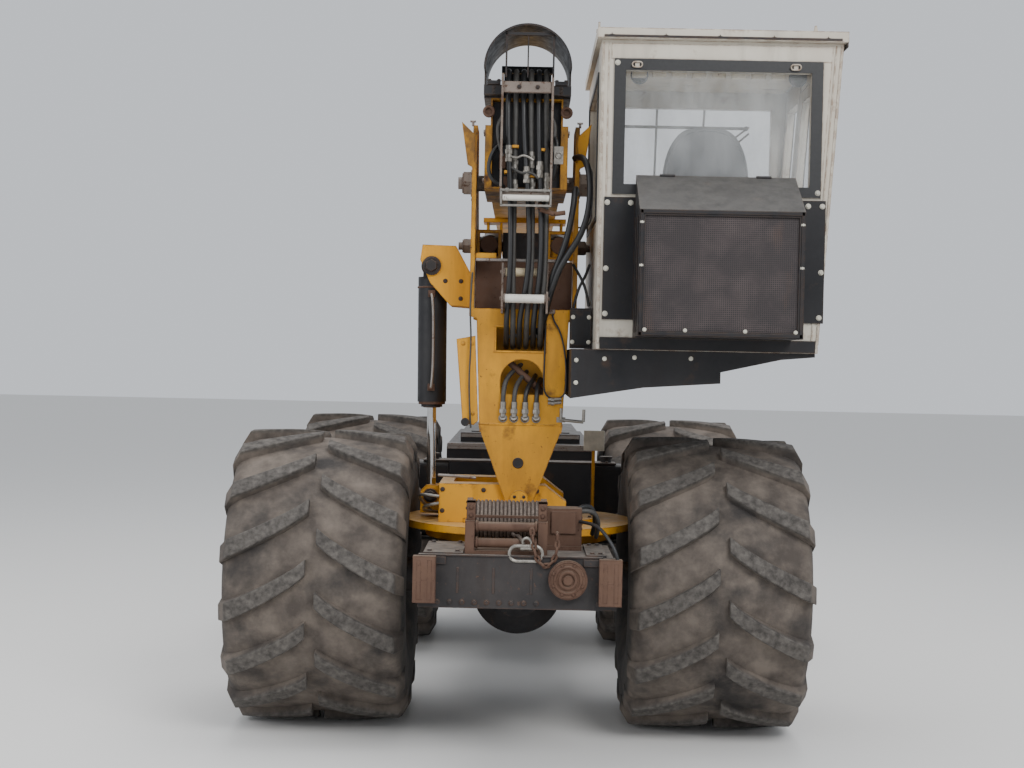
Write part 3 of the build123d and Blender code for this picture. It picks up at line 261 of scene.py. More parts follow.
white_roller = worn_paint(
    "white_roller", (0.66, 0.64, 0.58), (0.52, 0.5, 0.45), (0.2, 0.16, 0.13), (0.5, 0.47, 0.42), 0.6,
)
lamp_lens = plain("lamp_lens", (0.8, 0.8, 0.78), 0.08, 0.0, 0.03, 30, 0.3)
pad_white = plain("wear_pad", (0.6, 0.57, 0.48), 0.4, 0.0, 0.15, 20, 0.1)


def glass_finish(name, tint, dust_low):
    """Old window glass: clear, with a film of dust in clouds and streaks."""
    material, tree, shader, place = new_material(name)
    shader.inputs["Base Color"].default_value = (*tint, 1)
    shader.inputs["Transmission Weight"].default_value = 0.0
    shader.inputs["Roughness"].default_value = 0.08
    shader.inputs["IOR"].default_value = 1.45
    film = patches(tree, place, 3, 0.35, 0.75, dust_low, dust_low + 0.22, detail=8, stretch=(1, 1, 0.5))
    tree.links.new(film, shader.inputs["Alpha"])
    return material


glass = glass_finish("dusty_glass", (0.72, 0.74, 0.74), 0.05)


def tyre_finish(name, x, y):
    """Muddy carcass between worn grey lugs, told apart by the distance from the axle."""
    material, tree, shader, place = new_material(name)
    centre = tree.nodes.new("ShaderNodeMapping")
    centre.inputs["Location"].default_value = (-x, -y, -tyre_radius)
    tree.links.new(place, centre.inputs["Vector"])
    split = tree.nodes.new("ShaderNodeSeparateXYZ")
    tree.links.new(centre.outputs["Vector"], split.inputs["Vector"])
    flat = tree.nodes.new("ShaderNodeCombineXYZ")
    tree.links.new(split.outputs["Y"], flat.inputs["Y"])
    tree.links.new(split.outputs["Z"], flat.inputs["Z"])
    distance = tree.nodes.new("ShaderNodeVectorMath")
    distance.operation = "LENGTH"
    tree.links.new(flat.outputs["Vector"], distance.inputs[0])
    far = distance.outputs["Value"]
    mud_clouds = patches(tree, place, 7, 0.35, 0.66, detail=9)
    mud = layer(tree, (0.06, 0.048, 0.04), (0.155, 0.127, 0.104), mud_clouds)
    mud = layer(tree, mud, (0.03, 0.026, 0.024), patches(tree, place, 3, 0.5, 0.68))
    lug_clouds = patches(tree, place, 30, 0.35, 0.68, detail=10)
    lug_grey = layer(tree, (0.04, 0.035, 0.031), (0.118, 0.106, 0.094), lug_clouds)
    colour = layer(tree, mud, lug_grey, remap(tree, far, tyre_radius - 0.034, tyre_radius - 0.012))
    wall_grey = layer(tree, (0.03, 0.028, 0.027), (0.07, 0.058, 0.048), patches(tree, place, 9, 0.4, 0.65))
    colour = layer(tree, colour, wall_grey, remap(tree, far, 0.74, 0.7))
    tree.links.new(colour, shader.inputs["Base Color"])
    shader.inputs["Roughness"].default_value = 0.85
    bump(tree, shader, noise(tree, place, 45, detail=10, roughness=0.7), 0.7, 0.006)
    return material


def mesh_finish(name):
    """Black perforated sheet: rows of small holes over a dark core."""
    material, tree, shader, place = new_material(name)
    mapping = tree.nodes.new("ShaderNodeMapping")
    mapping.inputs["Scale"].default_value = (95, 1, 95)
    tree.links.new(place, mapping.inputs["Vector"])
    holes = tree.nodes.new("ShaderNodeTexVoronoi")
    holes.inputs["Scale"].default_value = 1.0
    holes.inputs["Randomness"].default_value = 0.0
    tree.links.new(mapping.outputs["Vector"], holes.inputs["Vector"])
    rim = remap(tree, holes.outputs["Distance"], 0.28, 0.36)
    sheet = layer(tree, (0.03, 0.021, 0.021), (0.07, 0.05, 0.048), patches(tree, place, 6, 0.4, 0.7))
    streaks = patches(tree, place, 4, 0.6, 0.72, 0, 0.5, stretch=(1, 1, 0.3))
    sheet = layer(tree, sheet, (0.1, 0.05, 0.03), streaks)
    tree.links.new(layer(tree, (0.004, 0.004, 0.005), sheet, rim), shader.inputs["Base Color"])
    shader.inputs["Roughness"].default_value = 0.55
    bump(tree, shader, rim, 0.6, 0.003)
    return material


finishes = {
    "yellow_paint": yellow, "black_paint": black, "cab_paint": cab_white, "rusty_steel": rusty,
    "bare_steel": steel, "chrome": chrome, "rubber": rubber, "glass": glass, "roller": cream,
    "fibreglass": fibreglass, "lamp": lamp_lens, "fabric": seat_cloth,
}
own_finishes = {
    "cooler_mesh": mesh_finish("cooler_screen"), "rear_frame": frame_grey, "front_frame": frame_grey,
    "rear_axle": frame_grey, "front_axle": frame_grey, "slew_plate": yellow, "winch": rusty,
    "hose_guide": old_bracket, "mast": grimy_yellow, "outer_boom": grimy_yellow, "mast_rollers": white_roller,
    "fork_pins": old_bracket,
}
# Each wheel: name, side, distance ahead of the rear axle
wheels = [
    ("rear_left", -1, 0.0), ("rear_right", 1, 0.0),
    ("front_left", -1, wheelbase), ("front_right", 1, wheelbase),
]
for name, side, y in wheels:
    own_finishes[f"tyre_{name}"] = tyre_finish(f"tyre_{name}_rubber", side * half_track, rear_axle_y + y)


def dress(thing, material):
    """One material over a whole object."""
    thing.data.materials.clear()
    thing.data.materials.append(material)


slots = {entry["node"]: entry["material_slot"] for entry in frame["record"]["subparts"]}
for node, thing in frame["nodes"].items():
    dress(thing, own_finishes.get(node) or finishes[slots[node]])


# Ways out of a face
to_rear = (0, -1, 0)
to_front = (0, 1, 0)
upward = (0, 0, 1)
to_side = (1, 0, 0)


# Shapes that the fittings are made of. Each is added to a bmesh, and its places are measured across, ahead of
# the rear axle and up. Where a coordinate is a list, one is made for each of its values.
def every(*values):
    """All combinations of the values, a list being taken one item at a time."""
    return itertools.product(*(value if isinstance(value, list) else [value] for value in values))


def around(middle, half):
    """Bounds on either side of a middle, or of each middle in a list."""
    if isinstance(middle, list):
        return [around(one, half) for one in middle]
    return (middle - half, middle + half)


def mirrored(low, high):
    """The same bounds on both sides of the centre plane."""
    return [(-high, -low), (low, high)]


def block(shape, x, y, z):
    """Blocks between the low and high values of each pair."""
    made = []
    for pairs in every(x, y, z):
        size = Matrix.Diagonal([high - low for low, high in pairs] + [1])
        middle = Matrix.Translation([(low + high) / 2 for low, high in pairs])
        made += bmesh.ops.create_cube(shape, size=1, matrix=middle @ size)["verts"]
    return made


def rod(shape, start, end, radius, sides=20, end_radius=None):
    """A round bar or cone between two points."""
    start, end = Vector(start), Vector(end)
    axis = end - start
    place = Matrix.Translation((start + end) / 2) @ axis.to_track_quat("Z", "Y").to_matrix().to_4x4()
    bmesh.ops.create_cone(
        shape, cap_ends=True, segments=sides, radius1=radius, depth=axis.length, matrix=place,
        radius2=radius if end_radius is None else end_radius,
    )


def bar(shape, x, y, z, radius, sides=20, end_radius=None):
    """Round bars; a coordinate that is a pair runs from the bar's start to its end."""
    for place in every(x, y, z):
        start = [value[0] if isinstance(value, tuple) else value for value in place]
        end = [value[1] if isinstance(value, tuple) else value for value in place]
        rod(shape, start, end, radius, sides, end_radius)


def ring(shape, centre, axis, radius, thickness, turns=40, sides=10, stretch=0.0):
    """A round ring about an axis; stretch draws it out to an oval chain link."""
    place = Matrix.Translation(centre) @ Vector(axis).to_track_quat("Z", "Y").to_matrix().to_4x4()
    before = set(shape.verts)
    section = bmesh.ops.create_circle(
        shape, segments=sides, radius=thickness,
        matrix=Matrix.Translation((radius, 0, 0)) @ Matrix.Rotation(math.radians(90), 4, "X"),
    )["verts"]
    edges = {edge for vert in section for edge in vert.link_edges}
    bmesh.ops.spin(
        shape, geom=section + list(edges), cent=(0, 0, 0), axis=(0, 0, 1), angle=2 * math.pi, steps=turns,
        use_merge=True,
    )
    for vert in set(shape.verts) - before:
        if stretch:
            vert.co.x += stretch if vert.co.x > 0 else -stretch
        vert.co = place @ vert.co


def bolt(shape, place, way, size=0.012):
    """A hexagon head on its washer; way points out of the face."""
    place, way = Vector(place), Vector(way)
    rod(shape, place - way * 0.001, place + way * 0.002, size * 1.35, 16)
    rod(shape, place, place + way * size * 0.8, size, 6, size * 0.95)


def bolts(shape, x, y, z, way, size=0.012):
    """Bolts at all combinations of the coordinates."""
    for place in every(x, y, z):
        bolt(shape, place, way, size)


def bolt_circle(shape, centre, way, radius, count, size, first=0):
    """Bolts evenly round a centre, from a first angle on; way points out of the face."""
    across = [axis for axis in range(3) if not way[axis]]
    for number in range(count):
        turn = math.radians(first + number * 360 / count)
        place = Vector(centre)
        place[across[0]] += radius * math.cos(turn)
        place[across[1]] += radius * math.sin(turn)
        bolt(shape, place, way, size)


def sheet_metal(shape, outline, way):
    """A flat plate: an outline of points, drawn out along way."""
    face = shape.faces.new([shape.verts.new(point) for point in outline])
    grown = bmesh.ops.extrude_face_region(shape, geom=[face])["geom"]
    for vert in (part for part in grown if isinstance(part, bmesh.types.BMVert)):
        vert.co += Vector(way)


def loop_tube(shape, places, thickness, sides=8):
    """A closed round tube through points that lie in one plane."""
    places = [Vector(place) for place in places]
    middle = sum(places, Vector()) / len(places)
    normal = (places[0] - middle).cross(places[len(places) // 4] - middle).normalized()
    loops = []
    for count, place in enumerate(places):
        tangent = (places[(count + 1) % len(places)] - places[count - 1]).normalized()
        outward = tangent.cross(normal)
        loops.append([
            shape.verts.new(place + thickness * (math.cos(turn) * outward + math.sin(turn) * normal))
            for turn in (2 * math.pi * part / sides for part in range(sides))
        ])
    for first, second in zip(loops, loops[1:] + loops[:1]):
        for count in range(sides):
            after = (count + 1) % sides
            shape.faces.new((first[count], first[after], second[after], second[count]))


def link(shape, centre, way, side, length=0.046, width=0.03, thickness=0.0065):
    """One chain link: its long axis along way, its flat side facing away from side x way."""
    way, side = Vector(way).normalized(), Vector(side).normalized()
    bend = width / 2 - thickness
    straight = length / 2 - thickness - bend
    places = []
    for sign in (1, -1):
        for part in range(9):
            turn = math.radians(-90 + part * 22.5)
            outward = way * (straight + bend * math.cos(turn)) + side * bend * math.sin(turn)
            places.append(Vector(centre) + sign * outward)
    loop_tube(shape, places, thickness)


def upright_sheet(shape, outline, y, depth):
    """A flat plate that faces the rear: its outline of x and z, drawn out from y by depth."""
    sheet_metal(shape, [(x, y, z) for x, z in outline], (0, depth, 0))


def finish_piece(name, shape, body, material, edge=0.002, angle=35):
    """The shape moved into the shared frame, as an object with softened edges that rides on its body."""
    bmesh.ops.translate(shape, verts=shape.verts, vec=(0, rear_axle_y, 0))
    bmesh.ops.recalc_face_normals(shape, faces=shape.faces)
    mesh = bpy.data.meshes.new(name)
    shape.to_mesh(mesh)
    shape.free()
    for face in mesh.polygons:
        face.use_smooth = True
    mesh.set_sharp_from_angle(angle=math.radians(angle))
    thing = bpy.data.objects.new(name, mesh)
    bpy.context.collection.objects.link(thing)
    if edge:
        soft = thing.modifiers.new("soft_edges", "BEVEL")
        soft.width = edge
        soft.segments = 2
        soft.limit_method = "ANGLE"
        soft.angle_limit = math.radians(40)
        soft.harden_normals = False
    dress(thing, material)
    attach(thing, body)
    return thing


def at(x, back, z):
    """A place measured from the rear axle: across, ahead of it and up."""
    return Vector((x, rear_axle_y + back, z))


def route(name, points, radius):
    """A smooth round hose along its control points."""
    curve = bpy.data.curves.new(name, "CURVE")
    curve.dimensions = "3D"
    spline = curve.splines.new("NURBS")
    spline.points.add(len(points) - 1)
    for point, place in zip(spline.points, points):
        point.co = (*place, 1)
    spline.order_u = 3
    spline.use_endpoint_u = True
    spline.resolution_u = 8
    curve.bevel_depth = radius
    curve.bevel_resolution = 3
    curve.use_fill_caps = True
    return curve


def pipe(name, points, radius, body, material):
    """A hose or pipe that rides on one body."""
    thing = bpy.data.objects.new(name, route(name, points, radius))
    bpy.context.collection.objects.link(thing)
    dress(thing, material)
    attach(thing, body)
    return thing


def pipes(name, rows, body):
    """Numbered pipes from rows of radius, finish and points measured from the rear axle."""
    for count, (radius, material, *points) in enumerate(rows):
        pipe(f"{name}_{count}", [at(*point) for point in points], radius, body, material)


def path_of(name, points):
    """The points that a hose's smooth line follows."""
    thing = bpy.data.objects.new(name, route(name, points, 0))
    line = bpy.data.meshes.new_from_object(thing)
    places = [vert.co.copy() for vert in line.vertices]
    bpy.data.objects.remove(thing)
    bpy.data.meshes.remove(line)
    return places


# Tyres: round-shouldered carcass with slanted lugs that wrap over the shoulder. Half section: x, radius
tyre_section = [
    (0.0, 0.789), (0.16, 0.788), (0.3, 0.785), (0.4, 0.778), (0.452, 0.762), (0.478, 0.735), (0.491, 0.69),
    (0.498, 0.62), (0.499, 0.56), (0.493, 0.49), (0.476, 0.42), (0.448, 0.365), (0.425, 0.338),
    (0.415, 0.322), (0.0, 0.322),
]
lugs_per_side = 15
lug_reach = 0.139
lug_half_width = 0.047
lug_cuts = 9
# Lug from its inner end to the shoulder: share of the way, x, top radius, foot radius
lug_line = [
    (0.0, 0.026, 0.836, 0.77), (0.25, 0.135, 0.8365, 0.77), (0.5, 0.25, 0.8355, 0.765),
    (0.75, 0.37, 0.833, 0.755), (0.9, 0.452, 0.828, 0.735), (0.96, 0.485, 0.805, 0.7),
    (1.0, 0.4985, 0.75, 0.66),
]


def along_lug(share):
    """x, top and foot radius at a share of the lug's way."""
    for (low, *first), (high, *second) in zip(lug_line, lug_line[1:]):
        if share <= high:
            part = (share - low) / (high - low)
            return [a + part * (b - a) for a, b in zip(first, second)]
    return lug_line[-1][1:]


def tyre_shape():
    """One tyre about the origin, its axle along X."""
    shape = bmesh.new()
    outline = [(-x, r) for x, r in reversed(tyre_section[1:-1])] + tyre_section[:-1]
    verts = [shape.verts.new((x, 0, r)) for x, r in outline]
    edges = [shape.edges.new(pair) for pair in zip(verts, verts[1:] + verts[:1])]
    bmesh.ops.spin(
        shape, geom=verts + edges, cent=(0, 0, 0), axis=(1, 0, 0), angle=2 * math.pi, steps=90,
        use_merge=True,
    )
    cube = bmesh.new()
    bmesh.ops.create_cube(cube, size=1)
    long_edges = [edge for edge in cube.edges if abs(edge.verts[0].co.x - edge.verts[1].co.x) > 0.5]
    bmesh.ops.subdivide_edges(cube, edges=long_edges, cuts=lug_cuts, use_grid_fill=True)
    plain_lug = bpy.data.meshes.new("plain_lug")
    cube.to_mesh(plain_lug)
    cube.free()
    for side in (-1, 1):
        for count in range(lugs_per_side):
            turn = math.radians((count + side / 4) * 360 / lugs_per_side)
            shape.verts.ensure_lookup_table()
            before = len(shape.verts)
            shape.from_mesh(plain_lug)
            shape.verts.ensure_lookup_table()
            for vert in shape.verts[before:]:
                share = vert.co.x + 0.5
                x, top, foot = along_lug(share)
                reach = lug_reach * (1 - 2 * share ** 0.85)
                top_side = vert.co.z > 0
                half = lug_half_width * (0.92 + 0.2 * share) * (1 if top_side else 1.2)
                angle = turn - (reach + vert.co.y * 2 * half) / tyre_radius + math.radians(90)
                radius = top if top_side else foot
                vert.co = (side * x, radius * math.cos(angle), radius * math.sin(angle))
    bpy.data.meshes.remove(plain_lug)
    return shape


for name, side, y in wheels:
    shape = tyre_shape()
    bmesh.ops.translate(shape, verts=shape.verts, vec=(side * half_track, y, tyre_radius))
    tyre_look = own_finishes[f"tyre_{name}"]
    tyre = finish_piece(f"tyre_{name}_tread", shape, f"wheel_{name}", tyre_look, 0.006, 50)
    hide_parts(f"tyre_{name}")
    shape = bmesh.new()
    bolt_circle(shape, (side * (half_track + 0.062), y, tyre_radius), (side, 0, 0), 0.235, 10, 0.02)
    hub_x = side * (half_track + 0.23)
    bolt_circle(shape, (hub_x, y, tyre_radius), (side, 0, 0), 0.09, 6, 0.01)
    bar(shape, (hub_x - side * 0.01, hub_x + side * 0.03), y, tyre_radius, 0.06, 32, 0.05)
    ring(shape, (side * (half_track + 0.433), y, tyre_radius), to_side, 0.331, 0.006, 72, 8)
    finish_piece(f"wheel_nuts_{name}", shape, f"wheel_{name}", steel, 0.001)


# Hoses from the boom's bulkhead to the mast's manifold. Side view: stretch of the way down, y, z
bulkhead_y = rear_axle_y - 0.12
hose_side_view = [
    ("top", bulkhead_y, 3.705), ("top", bulkhead_y - 0.085, 3.705), ("top", bulkhead_y - 0.22, 3.73),
    ("top", rear_axle_y - 0.4526, 3.67), ("top", boom_rear_y - 0.0575, 3.552),
    ("leaving", boom_rear_y - 0.062, 3.31), ("nearing", boom_rear_y - 0.055, 2.94),
    ("loose", mast_rear_y - 0.128, 2.6), ("foot", mast_rear_y - 0.105, 2.345),
    ("foot", mast_rear_y - 0.035, 2.235), ("foot", mast_rear_y + 0.06, 2.178),
    ("foot", mast_rear_y + 0.17, 2.178),
]
# Hose: x at the boom, half way down and at the mast, and how far it stands forward half way down
hoses = [
    (-0.105, -0.073, -0.090, -0.016), (-0.063, -0.060, -0.054, 0.012), (-0.021, 0.030, -0.018, -0.016),
    (0.021, 0.044, 0.021, 0.012), (0.063, 0.094, 0.060, -0.012), (0.105, 0.118, 0.099, 0.008),
]


def hose_place(hose, stretch, y, z):
    """A point of a boom hose; between boom and mast it leaves its place in the row."""
    upper, middle, lower, forward = hose
    gone = {"top": 0, "leaving": 0.15, "nearing": 0.85, "loose": 1}
    if stretch == "foot":
        return (lower, y, z)
    return (upper + gone[stretch] * (middle - upper), y + (forward if stretch != "top" else 0), z)


hose_radius = 0.015
for count, row in enumerate(hoses):
    places = [hose_place(row, *step) for step in hose_side_view]
    name = f"boom_hose_{count}"
    soft = bpy.data.objects.new(name + "_line", route(name + "_line", places, hose_radius))
    mesh = bpy.data.meshes.new_from_object(soft)
    bpy.data.objects.remove(soft)
    hose = bpy.data.objects.new(name, mesh)
    bpy.context.collection.objects.link(hose)
    for face in mesh.polygons:
        face.use_smooth = True
    dress(hose, old_hose if count % 2 else rubber)
    line = path_of(name + "_path", places)
    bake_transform(hose)
    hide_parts("boom_hoses")

# Two small hoses on the mast: x, z
small_radius = 0.005
fork_loop = [
    (0.3, 3.212), (0.33, 3.212), (0.356, 3.197), (0.371, 3.171), (0.374, 3.115), (0.375, 3.04),
    (0.373, 2.955), (0.371, 2.895), (0.356, 2.869), (0.33, 2.854), (0.3, 2.854),
]
plate_loop = [
    (0.13, 2.3597), (0.128, 2.25), (0.126, 2.095), (0.124, 1.99), (0.128, 1.934), (0.144, 1.906),
    (0.172, 1.89), (0.204, 1.89), (0.232, 1.906), (0.248, 1.934), (0.25, 1.99), (0.246, 2.1), (0.228, 2.21),
    (0.202, 2.285), (0.172, 2.325), (0.165, 2.3635),
]
for name, y, outline, length in (
    ("fork_hose", mast_rear_y + 0.06, fork_loop, 0.45), ("plate_hose", mast_rear_y - 0.011, plate_loop, 1.03),
):
    places = [(x, y, z) for x, z in outline]
    hose = pipe(name, places, small_radius, "tilting_mast", rubber)
    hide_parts("mast_hoses")


# Rear of the boom: the frame under the arch, its feet, the guide's lower frame and the hose fittings
shape = bmesh.new()
block(shape, [(-0.123, -0.113), (0.134, 0.144)], (-0.6, -0.575), (3.64, 3.882))
block(shape, (-0.123, 0.144), (-0.6, -0.585), (3.868, 3.886))
bar(shape, 0, -0.59, (3.64, 3.87), 0.004)
for low, high in ((-0.24, -0.128), (0.13, 0.24)):
    block(shape, (low, high), (-0.52, -0.43), (3.558, 3.612))
    block(shape, (low + 0.02, high - 0.02), (-0.53, -0.5), (3.612, 3.634))
    bolts(shape, [low + 0.03, high - 0.03], -0.515, 3.634, upward, 0.011)
    bolts(shape, (low + high) / 2, -0.52, [3.575, 3.597], to_rear, 0.007)
bolts(shape, [-0.045, 0.055], -0.594, 3.59, to_rear, 0.009)
finish_piece("arch_frame", shape, "boom", black)

shape = bmesh.new()
block(shape, (-0.189, 0.189), (-0.396, -0.39), (3.062, 3.538))
block(shape, (-0.15, 0.15), (-0.118, -0.06), (3.752, 3.79))
finish_piece("boom_back_plate", shape, "boom", black)

shape = bmesh.new()
for x in (-0.211, 0.219):
    ring(shape, (x, -0.47, 3.472), to_front, 0.026, 0.008)
    bar(shape, x, (-0.46, -0.4), 3.472, 0.024)
finish_piece("side_rings", shape, "boom", rusty, 0.001)

frame_back = -0.612
shape = bmesh.new()
block(shape, (-0.136, 0.142), around(frame_back, 0.012), around([2.943, 3.026], 0.006))
block(shape, around([-0.132, 0.138], 0.005), (frame_back - 0.012, frame_back + 0.03), (2.943, 3.026))
bolts(shape, [-0.1, 0.105], frame_back - 0.012, 3.026, to_rear, 0.009)
block(shape, (0.152, 0.203), (-0.556, -0.55), (3.178, 3.275))
ring(shape, (0.178, -0.557, 3.226), to_front, 0.016, 0.004, 24, 8)
finish_piece("guide_frame", shape, "boom", fitting, 0.001)

shape = bmesh.new()
bar(shape, (-0.124, 0.13), frame_back, 2.985, 0.017)
finish_piece("guide_roller", shape, "boom", white_roller, 0.001)

# The mast's two rollers, brown bands of painted shade where the hoses pass in front of the upper one, and the
# bracket round them
mast_rollers = [(mast_rear - 0.07, 2.59, cream), (mast_rear - 0.17, 2.44, white_roller)]
shoulder_z = 2.389
roller_pieces = []
for count, (y, z, material) in enumerate(mast_rollers):
    shape = bmesh.new()
    bar(shape, (-0.11, 0.124), y, z, 0.024, 40)
    roller_pieces.append(finish_piece(f"mast_roller_{count}", shape, "tilting_mast", material, 0.003))
shape = bmesh.new()
cheeks = around([-0.116, 0.13], 0.006)
block(shape, cheeks, (mast_rear - 0.09, mast_rear - 0.05), (shoulder_z, 2.64))
block(shape, cheeks, (mast_rear - 0.19, mast_rear), (2.36, shoulder_z))
block(shape, cheeks, (mast_rear - 0.19, mast_rear - 0.15), (shoulder_z, 2.48))
block(shape, (0.136, 0.18), (mast_rear - 0.02, mast_rear), (2.365, shoulder_z))
for y, z, material in mast_rollers:
    bar(shape, around([-0.105, 0.119], 0.004), y, z, 0.029, 32)
    for x, side in ((-0.122, -1), (0.136, 1)):
        bolt(shape, (x, y, z), (side, 0, 0), 0.01)
roller_pieces.append(finish_piece("roller_bracket", shape, "tilting_mast", old_bracket))
# Brown bands on the upper roller right behind the hoses: painted shade of the hoses on it
shape = bmesh.new()
bar(shape, [(-0.078, -0.054), (0.025, 0.049), (0.08, 0.096)], mast_rear - 0.07, 2.59, 0.0246, 40)
roller_pieces.append(finish_piece("roller_hose_shade_bands", shape, "tilting_mast", rusty, 0))
for piece in roller_pieces:
    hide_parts("mast_rollers")

# Fittings where the hoses are joined: hose number, height of the joint
joints_on_hoses = [(0, 3.245), (1, 3.19), (2, 3.13), (3, 3.215), (4, 3.16), (5, 3.1), (1, 3.06), (3, 3.07)]
shape = bmesh.new()
for count, z in joints_on_hoses:
    upper, middle, _, forward = hoses[count]
    x = upper + (0.15 + 0.7 * (3.31 - z) / 0.37) * (middle - upper)
    y = boom_rear - 0.06 + forward
    bar(shape, x, y, around(z, 0.035), 0.0185, 24)
    bar(shape, x, y, around(z, 0.012), 0.0225, 6)
    bar(shape, x, y, (z - 0.055, z - 0.035), 0.0205, 6)
finish_piece("hose_joints", shape, "boom", fitting, 0.001)

# Rusty valve blocks among the hoses, with an elbow under them: x, rear face, z, half width, half height
shape = bmesh.new()
for x, y, z, wide, high in (
    (-0.095, -0.475, 3.085, 0.028, 0.03), (-0.02, -0.47, 3.02, 0.035, 0.022),
    (0.06, -0.475, 3.05, 0.025, 0.035), (0.1, -0.47, 3.165, 0.022, 0.025), (-0.13, -0.47, 3.2, 0.018, 0.04),
):
    block(shape, around(x, wide), (y, y + 0.06), around(z, high))
bar(shape, (0.08, 0.16), -0.56, (2.93, 2.905), 0.013)
bar(shape, (0.16, 0.22), (-0.56, -0.55), (2.905, 2.915), 0.013)
bar(shape, 0.08, (-0.56, -0.55), (2.93, 2.965), 0.013)
finish_piece("valve_blocks", shape, "boom", rusty, 0.003)

shape = bmesh.new()
for x, y, z in ((-0.06, -0.53, 3.275), (0.04, -0.528, 3.115), (-0.1, -0.53, 3.135), (0.085, -0.53, 3.26)):
    block(shape, around(x, 0.019), (y, y + 0.05), around(z, 0.008))
finish_piece("yellow_clips", shape, "boom", yellow)

# Small hoses and pipes on the boom's rear: radius, finish, points
pipes("boom_pipe", [
    (0.011, rubber, (-0.12, -0.47, 3.3), (-0.165, -0.5, 3.28), (-0.205, -0.51, 3.2), (-0.205, -0.51, 3.12),
     (-0.16, -0.5, 3.07), (-0.12, -0.47, 3.06)),
    (0.011, rubber, (0.14, -0.47, 3.36), (0.165, -0.52, 3.33), (0.17, -0.53, 3.25), (0.165, -0.52, 3.15),
     (0.15, -0.48, 3.1)),
    (0.009, old_hose, (0.13, -0.46, 3.45), (0.16, -0.5, 3.42), (0.155, -0.51, 3.3), (0.14, -0.51, 3.18),
     (0.12, -0.47, 3.12)),
    (0.008, old_hose, (-0.08, -0.53, 3.16), (-0.03, -0.545, 3.12), (0.03, -0.54, 3.14), (0.07, -0.53, 3.1)),
    (0.009, old_hose, (-0.14, -0.47, 3.44), (-0.165, -0.5, 3.4), (-0.155, -0.52, 3.3), (-0.13, -0.52, 3.22)),
    (0.007, fitting, (-0.1, -0.53, 3.23), (-0.06, -0.545, 3.2), (-0.01, -0.54, 3.235), (0.04, -0.535, 3.2)),
], "boom")

# Fork: washers and bolts round its pins, the strip, the back panel and the box between its plates
shape = bmesh.new()
for y, z, nut in ((-0.15, 3.11, 0.07), (0.05, 2.765, 0.046)):
    for side in (-1, 1):
        bar(shape, (side * 0.355, side * 0.362), y, z, nut * 0.82, 32)
        bar(shape, (side * 0.362, side * 0.385), y, z, nut * 0.5, 24)
        ring(shape, (side * 0.307, y, z), to_side, nut * 1.05, 0.006, 40, 8)
        bolt_circle(shape, (side * 0.303, y, z), (side, 0, 0), 1.35 * nut, 6, 0.009, 30)
finish_piece("fork_pin_ends", shape, "tilting_mast", old_bracket)

shape = bmesh.new()
for x in (-0.3, 0.298):
    bar(shape, x, -0.36, (3.405, 3.43), 0.007)
    bar(shape, around(x, 0.016), -0.36, 3.432, 0.006)
block(shape, (-0.266, 0.232), (mast_rear - 0.012, mast_rear + 0.02), (2.652, 2.668))
bolts(shape, [-0.2, -0.05, 0.1, 0.2], mast_rear - 0.012, 2.66, to_rear, 0.007)
finish_piece("fork_strip", shape, "tilting_mast", steel, 0.001)

shape = bmesh.new()
block(shape, (-0.272, 0.272), (-0.29, -0.28), (2.392, 2.66))
bar(shape, [-0.203, 0.203], (-0.13, -0.1), 2.765, 0.05, 28)
finish_piece("fork_back_panel", shape, "tilting_mast", rusty)

shape = bmesh.new()
block(shape, (-0.125, 0.125), (-0.05, 0.005), (2.68, 2.84))
bolts(shape, [-0.08, 0.0, 0.08], -0.05, 2.82, to_rear, 0.009)
finish_piece("fork_inner_box", shape, "tilting_mast", frame_grey, 0.004)

shape = bmesh.new()
block(shape, (0.155, 0.268), (-0.1, -0.085), (2.7, 2.8))
block(shape, (-0.272, -0.155), (mast_rear + 0.02, mast_rear + 0.03), (2.668, 2.7))
flank = [(-0.368, 2.215), (-0.262, 2.235), (-0.238, 1.76), (-0.262, 1.735), (-0.325, 1.745)]
upright_sheet(shape, flank, mast_rear - 0.002, 0.014)
for x, z in ((-0.33, 2.19), (-0.28, 2.19), (-0.27, 1.8)):
    bolt(shape, (x, mast_rear - 0.002, z), to_rear, 0.008)
finish_piece("mast_side_plate", shape, "tilting_mast", yellow, 0.003)

shape = bmesh.new()
bar(shape, -0.309, (-0.415, -0.385), 1.753, 0.014)
bar(shape, -0.309, (-0.43, -0.412), 1.753, 0.024, 24, 0.02)
ring(shape, (-0.01, mast_rear - 0.001, 1.528), to_front, 0.026, 0.005, 32, 8)
bar(shape, -0.01, (mast_rear - 0.004, mast_rear + 0.002), 1.528, 0.024, 28)
bolt_circle(shape, (0, -0.409, 1.325), to_rear, 0.03, 3, 0.007, 30)
block(shape, (0.262, 0.385), (-0.46, mast_rear), (2.175, 2.398))
block(shape, (0.268, 0.379), (-0.468, -0.458), (2.19, 2.385))
finish_piece("mast_black_fittings", shape, "tilting_mast", black, 0.003)

shape = bmesh.new()
for x, z in ((0.278, 2.348), (0.276, 2.21), (0.366, 2.21), (0.366, 2.348)):
    bolt(shape, (x, -0.468, z), to_rear, 0.009)
for x, z in ((0.29, 2.11), (0.29, 1.99), (0.44, 2.12), (0.6, 2.13), (0.9, 2.13)):
    bolt(shape, (x, -0.781, z), to_rear, 0.009)
finish_piece("white_bolts", shape, "tilting_mast", pad_white, 0.001)

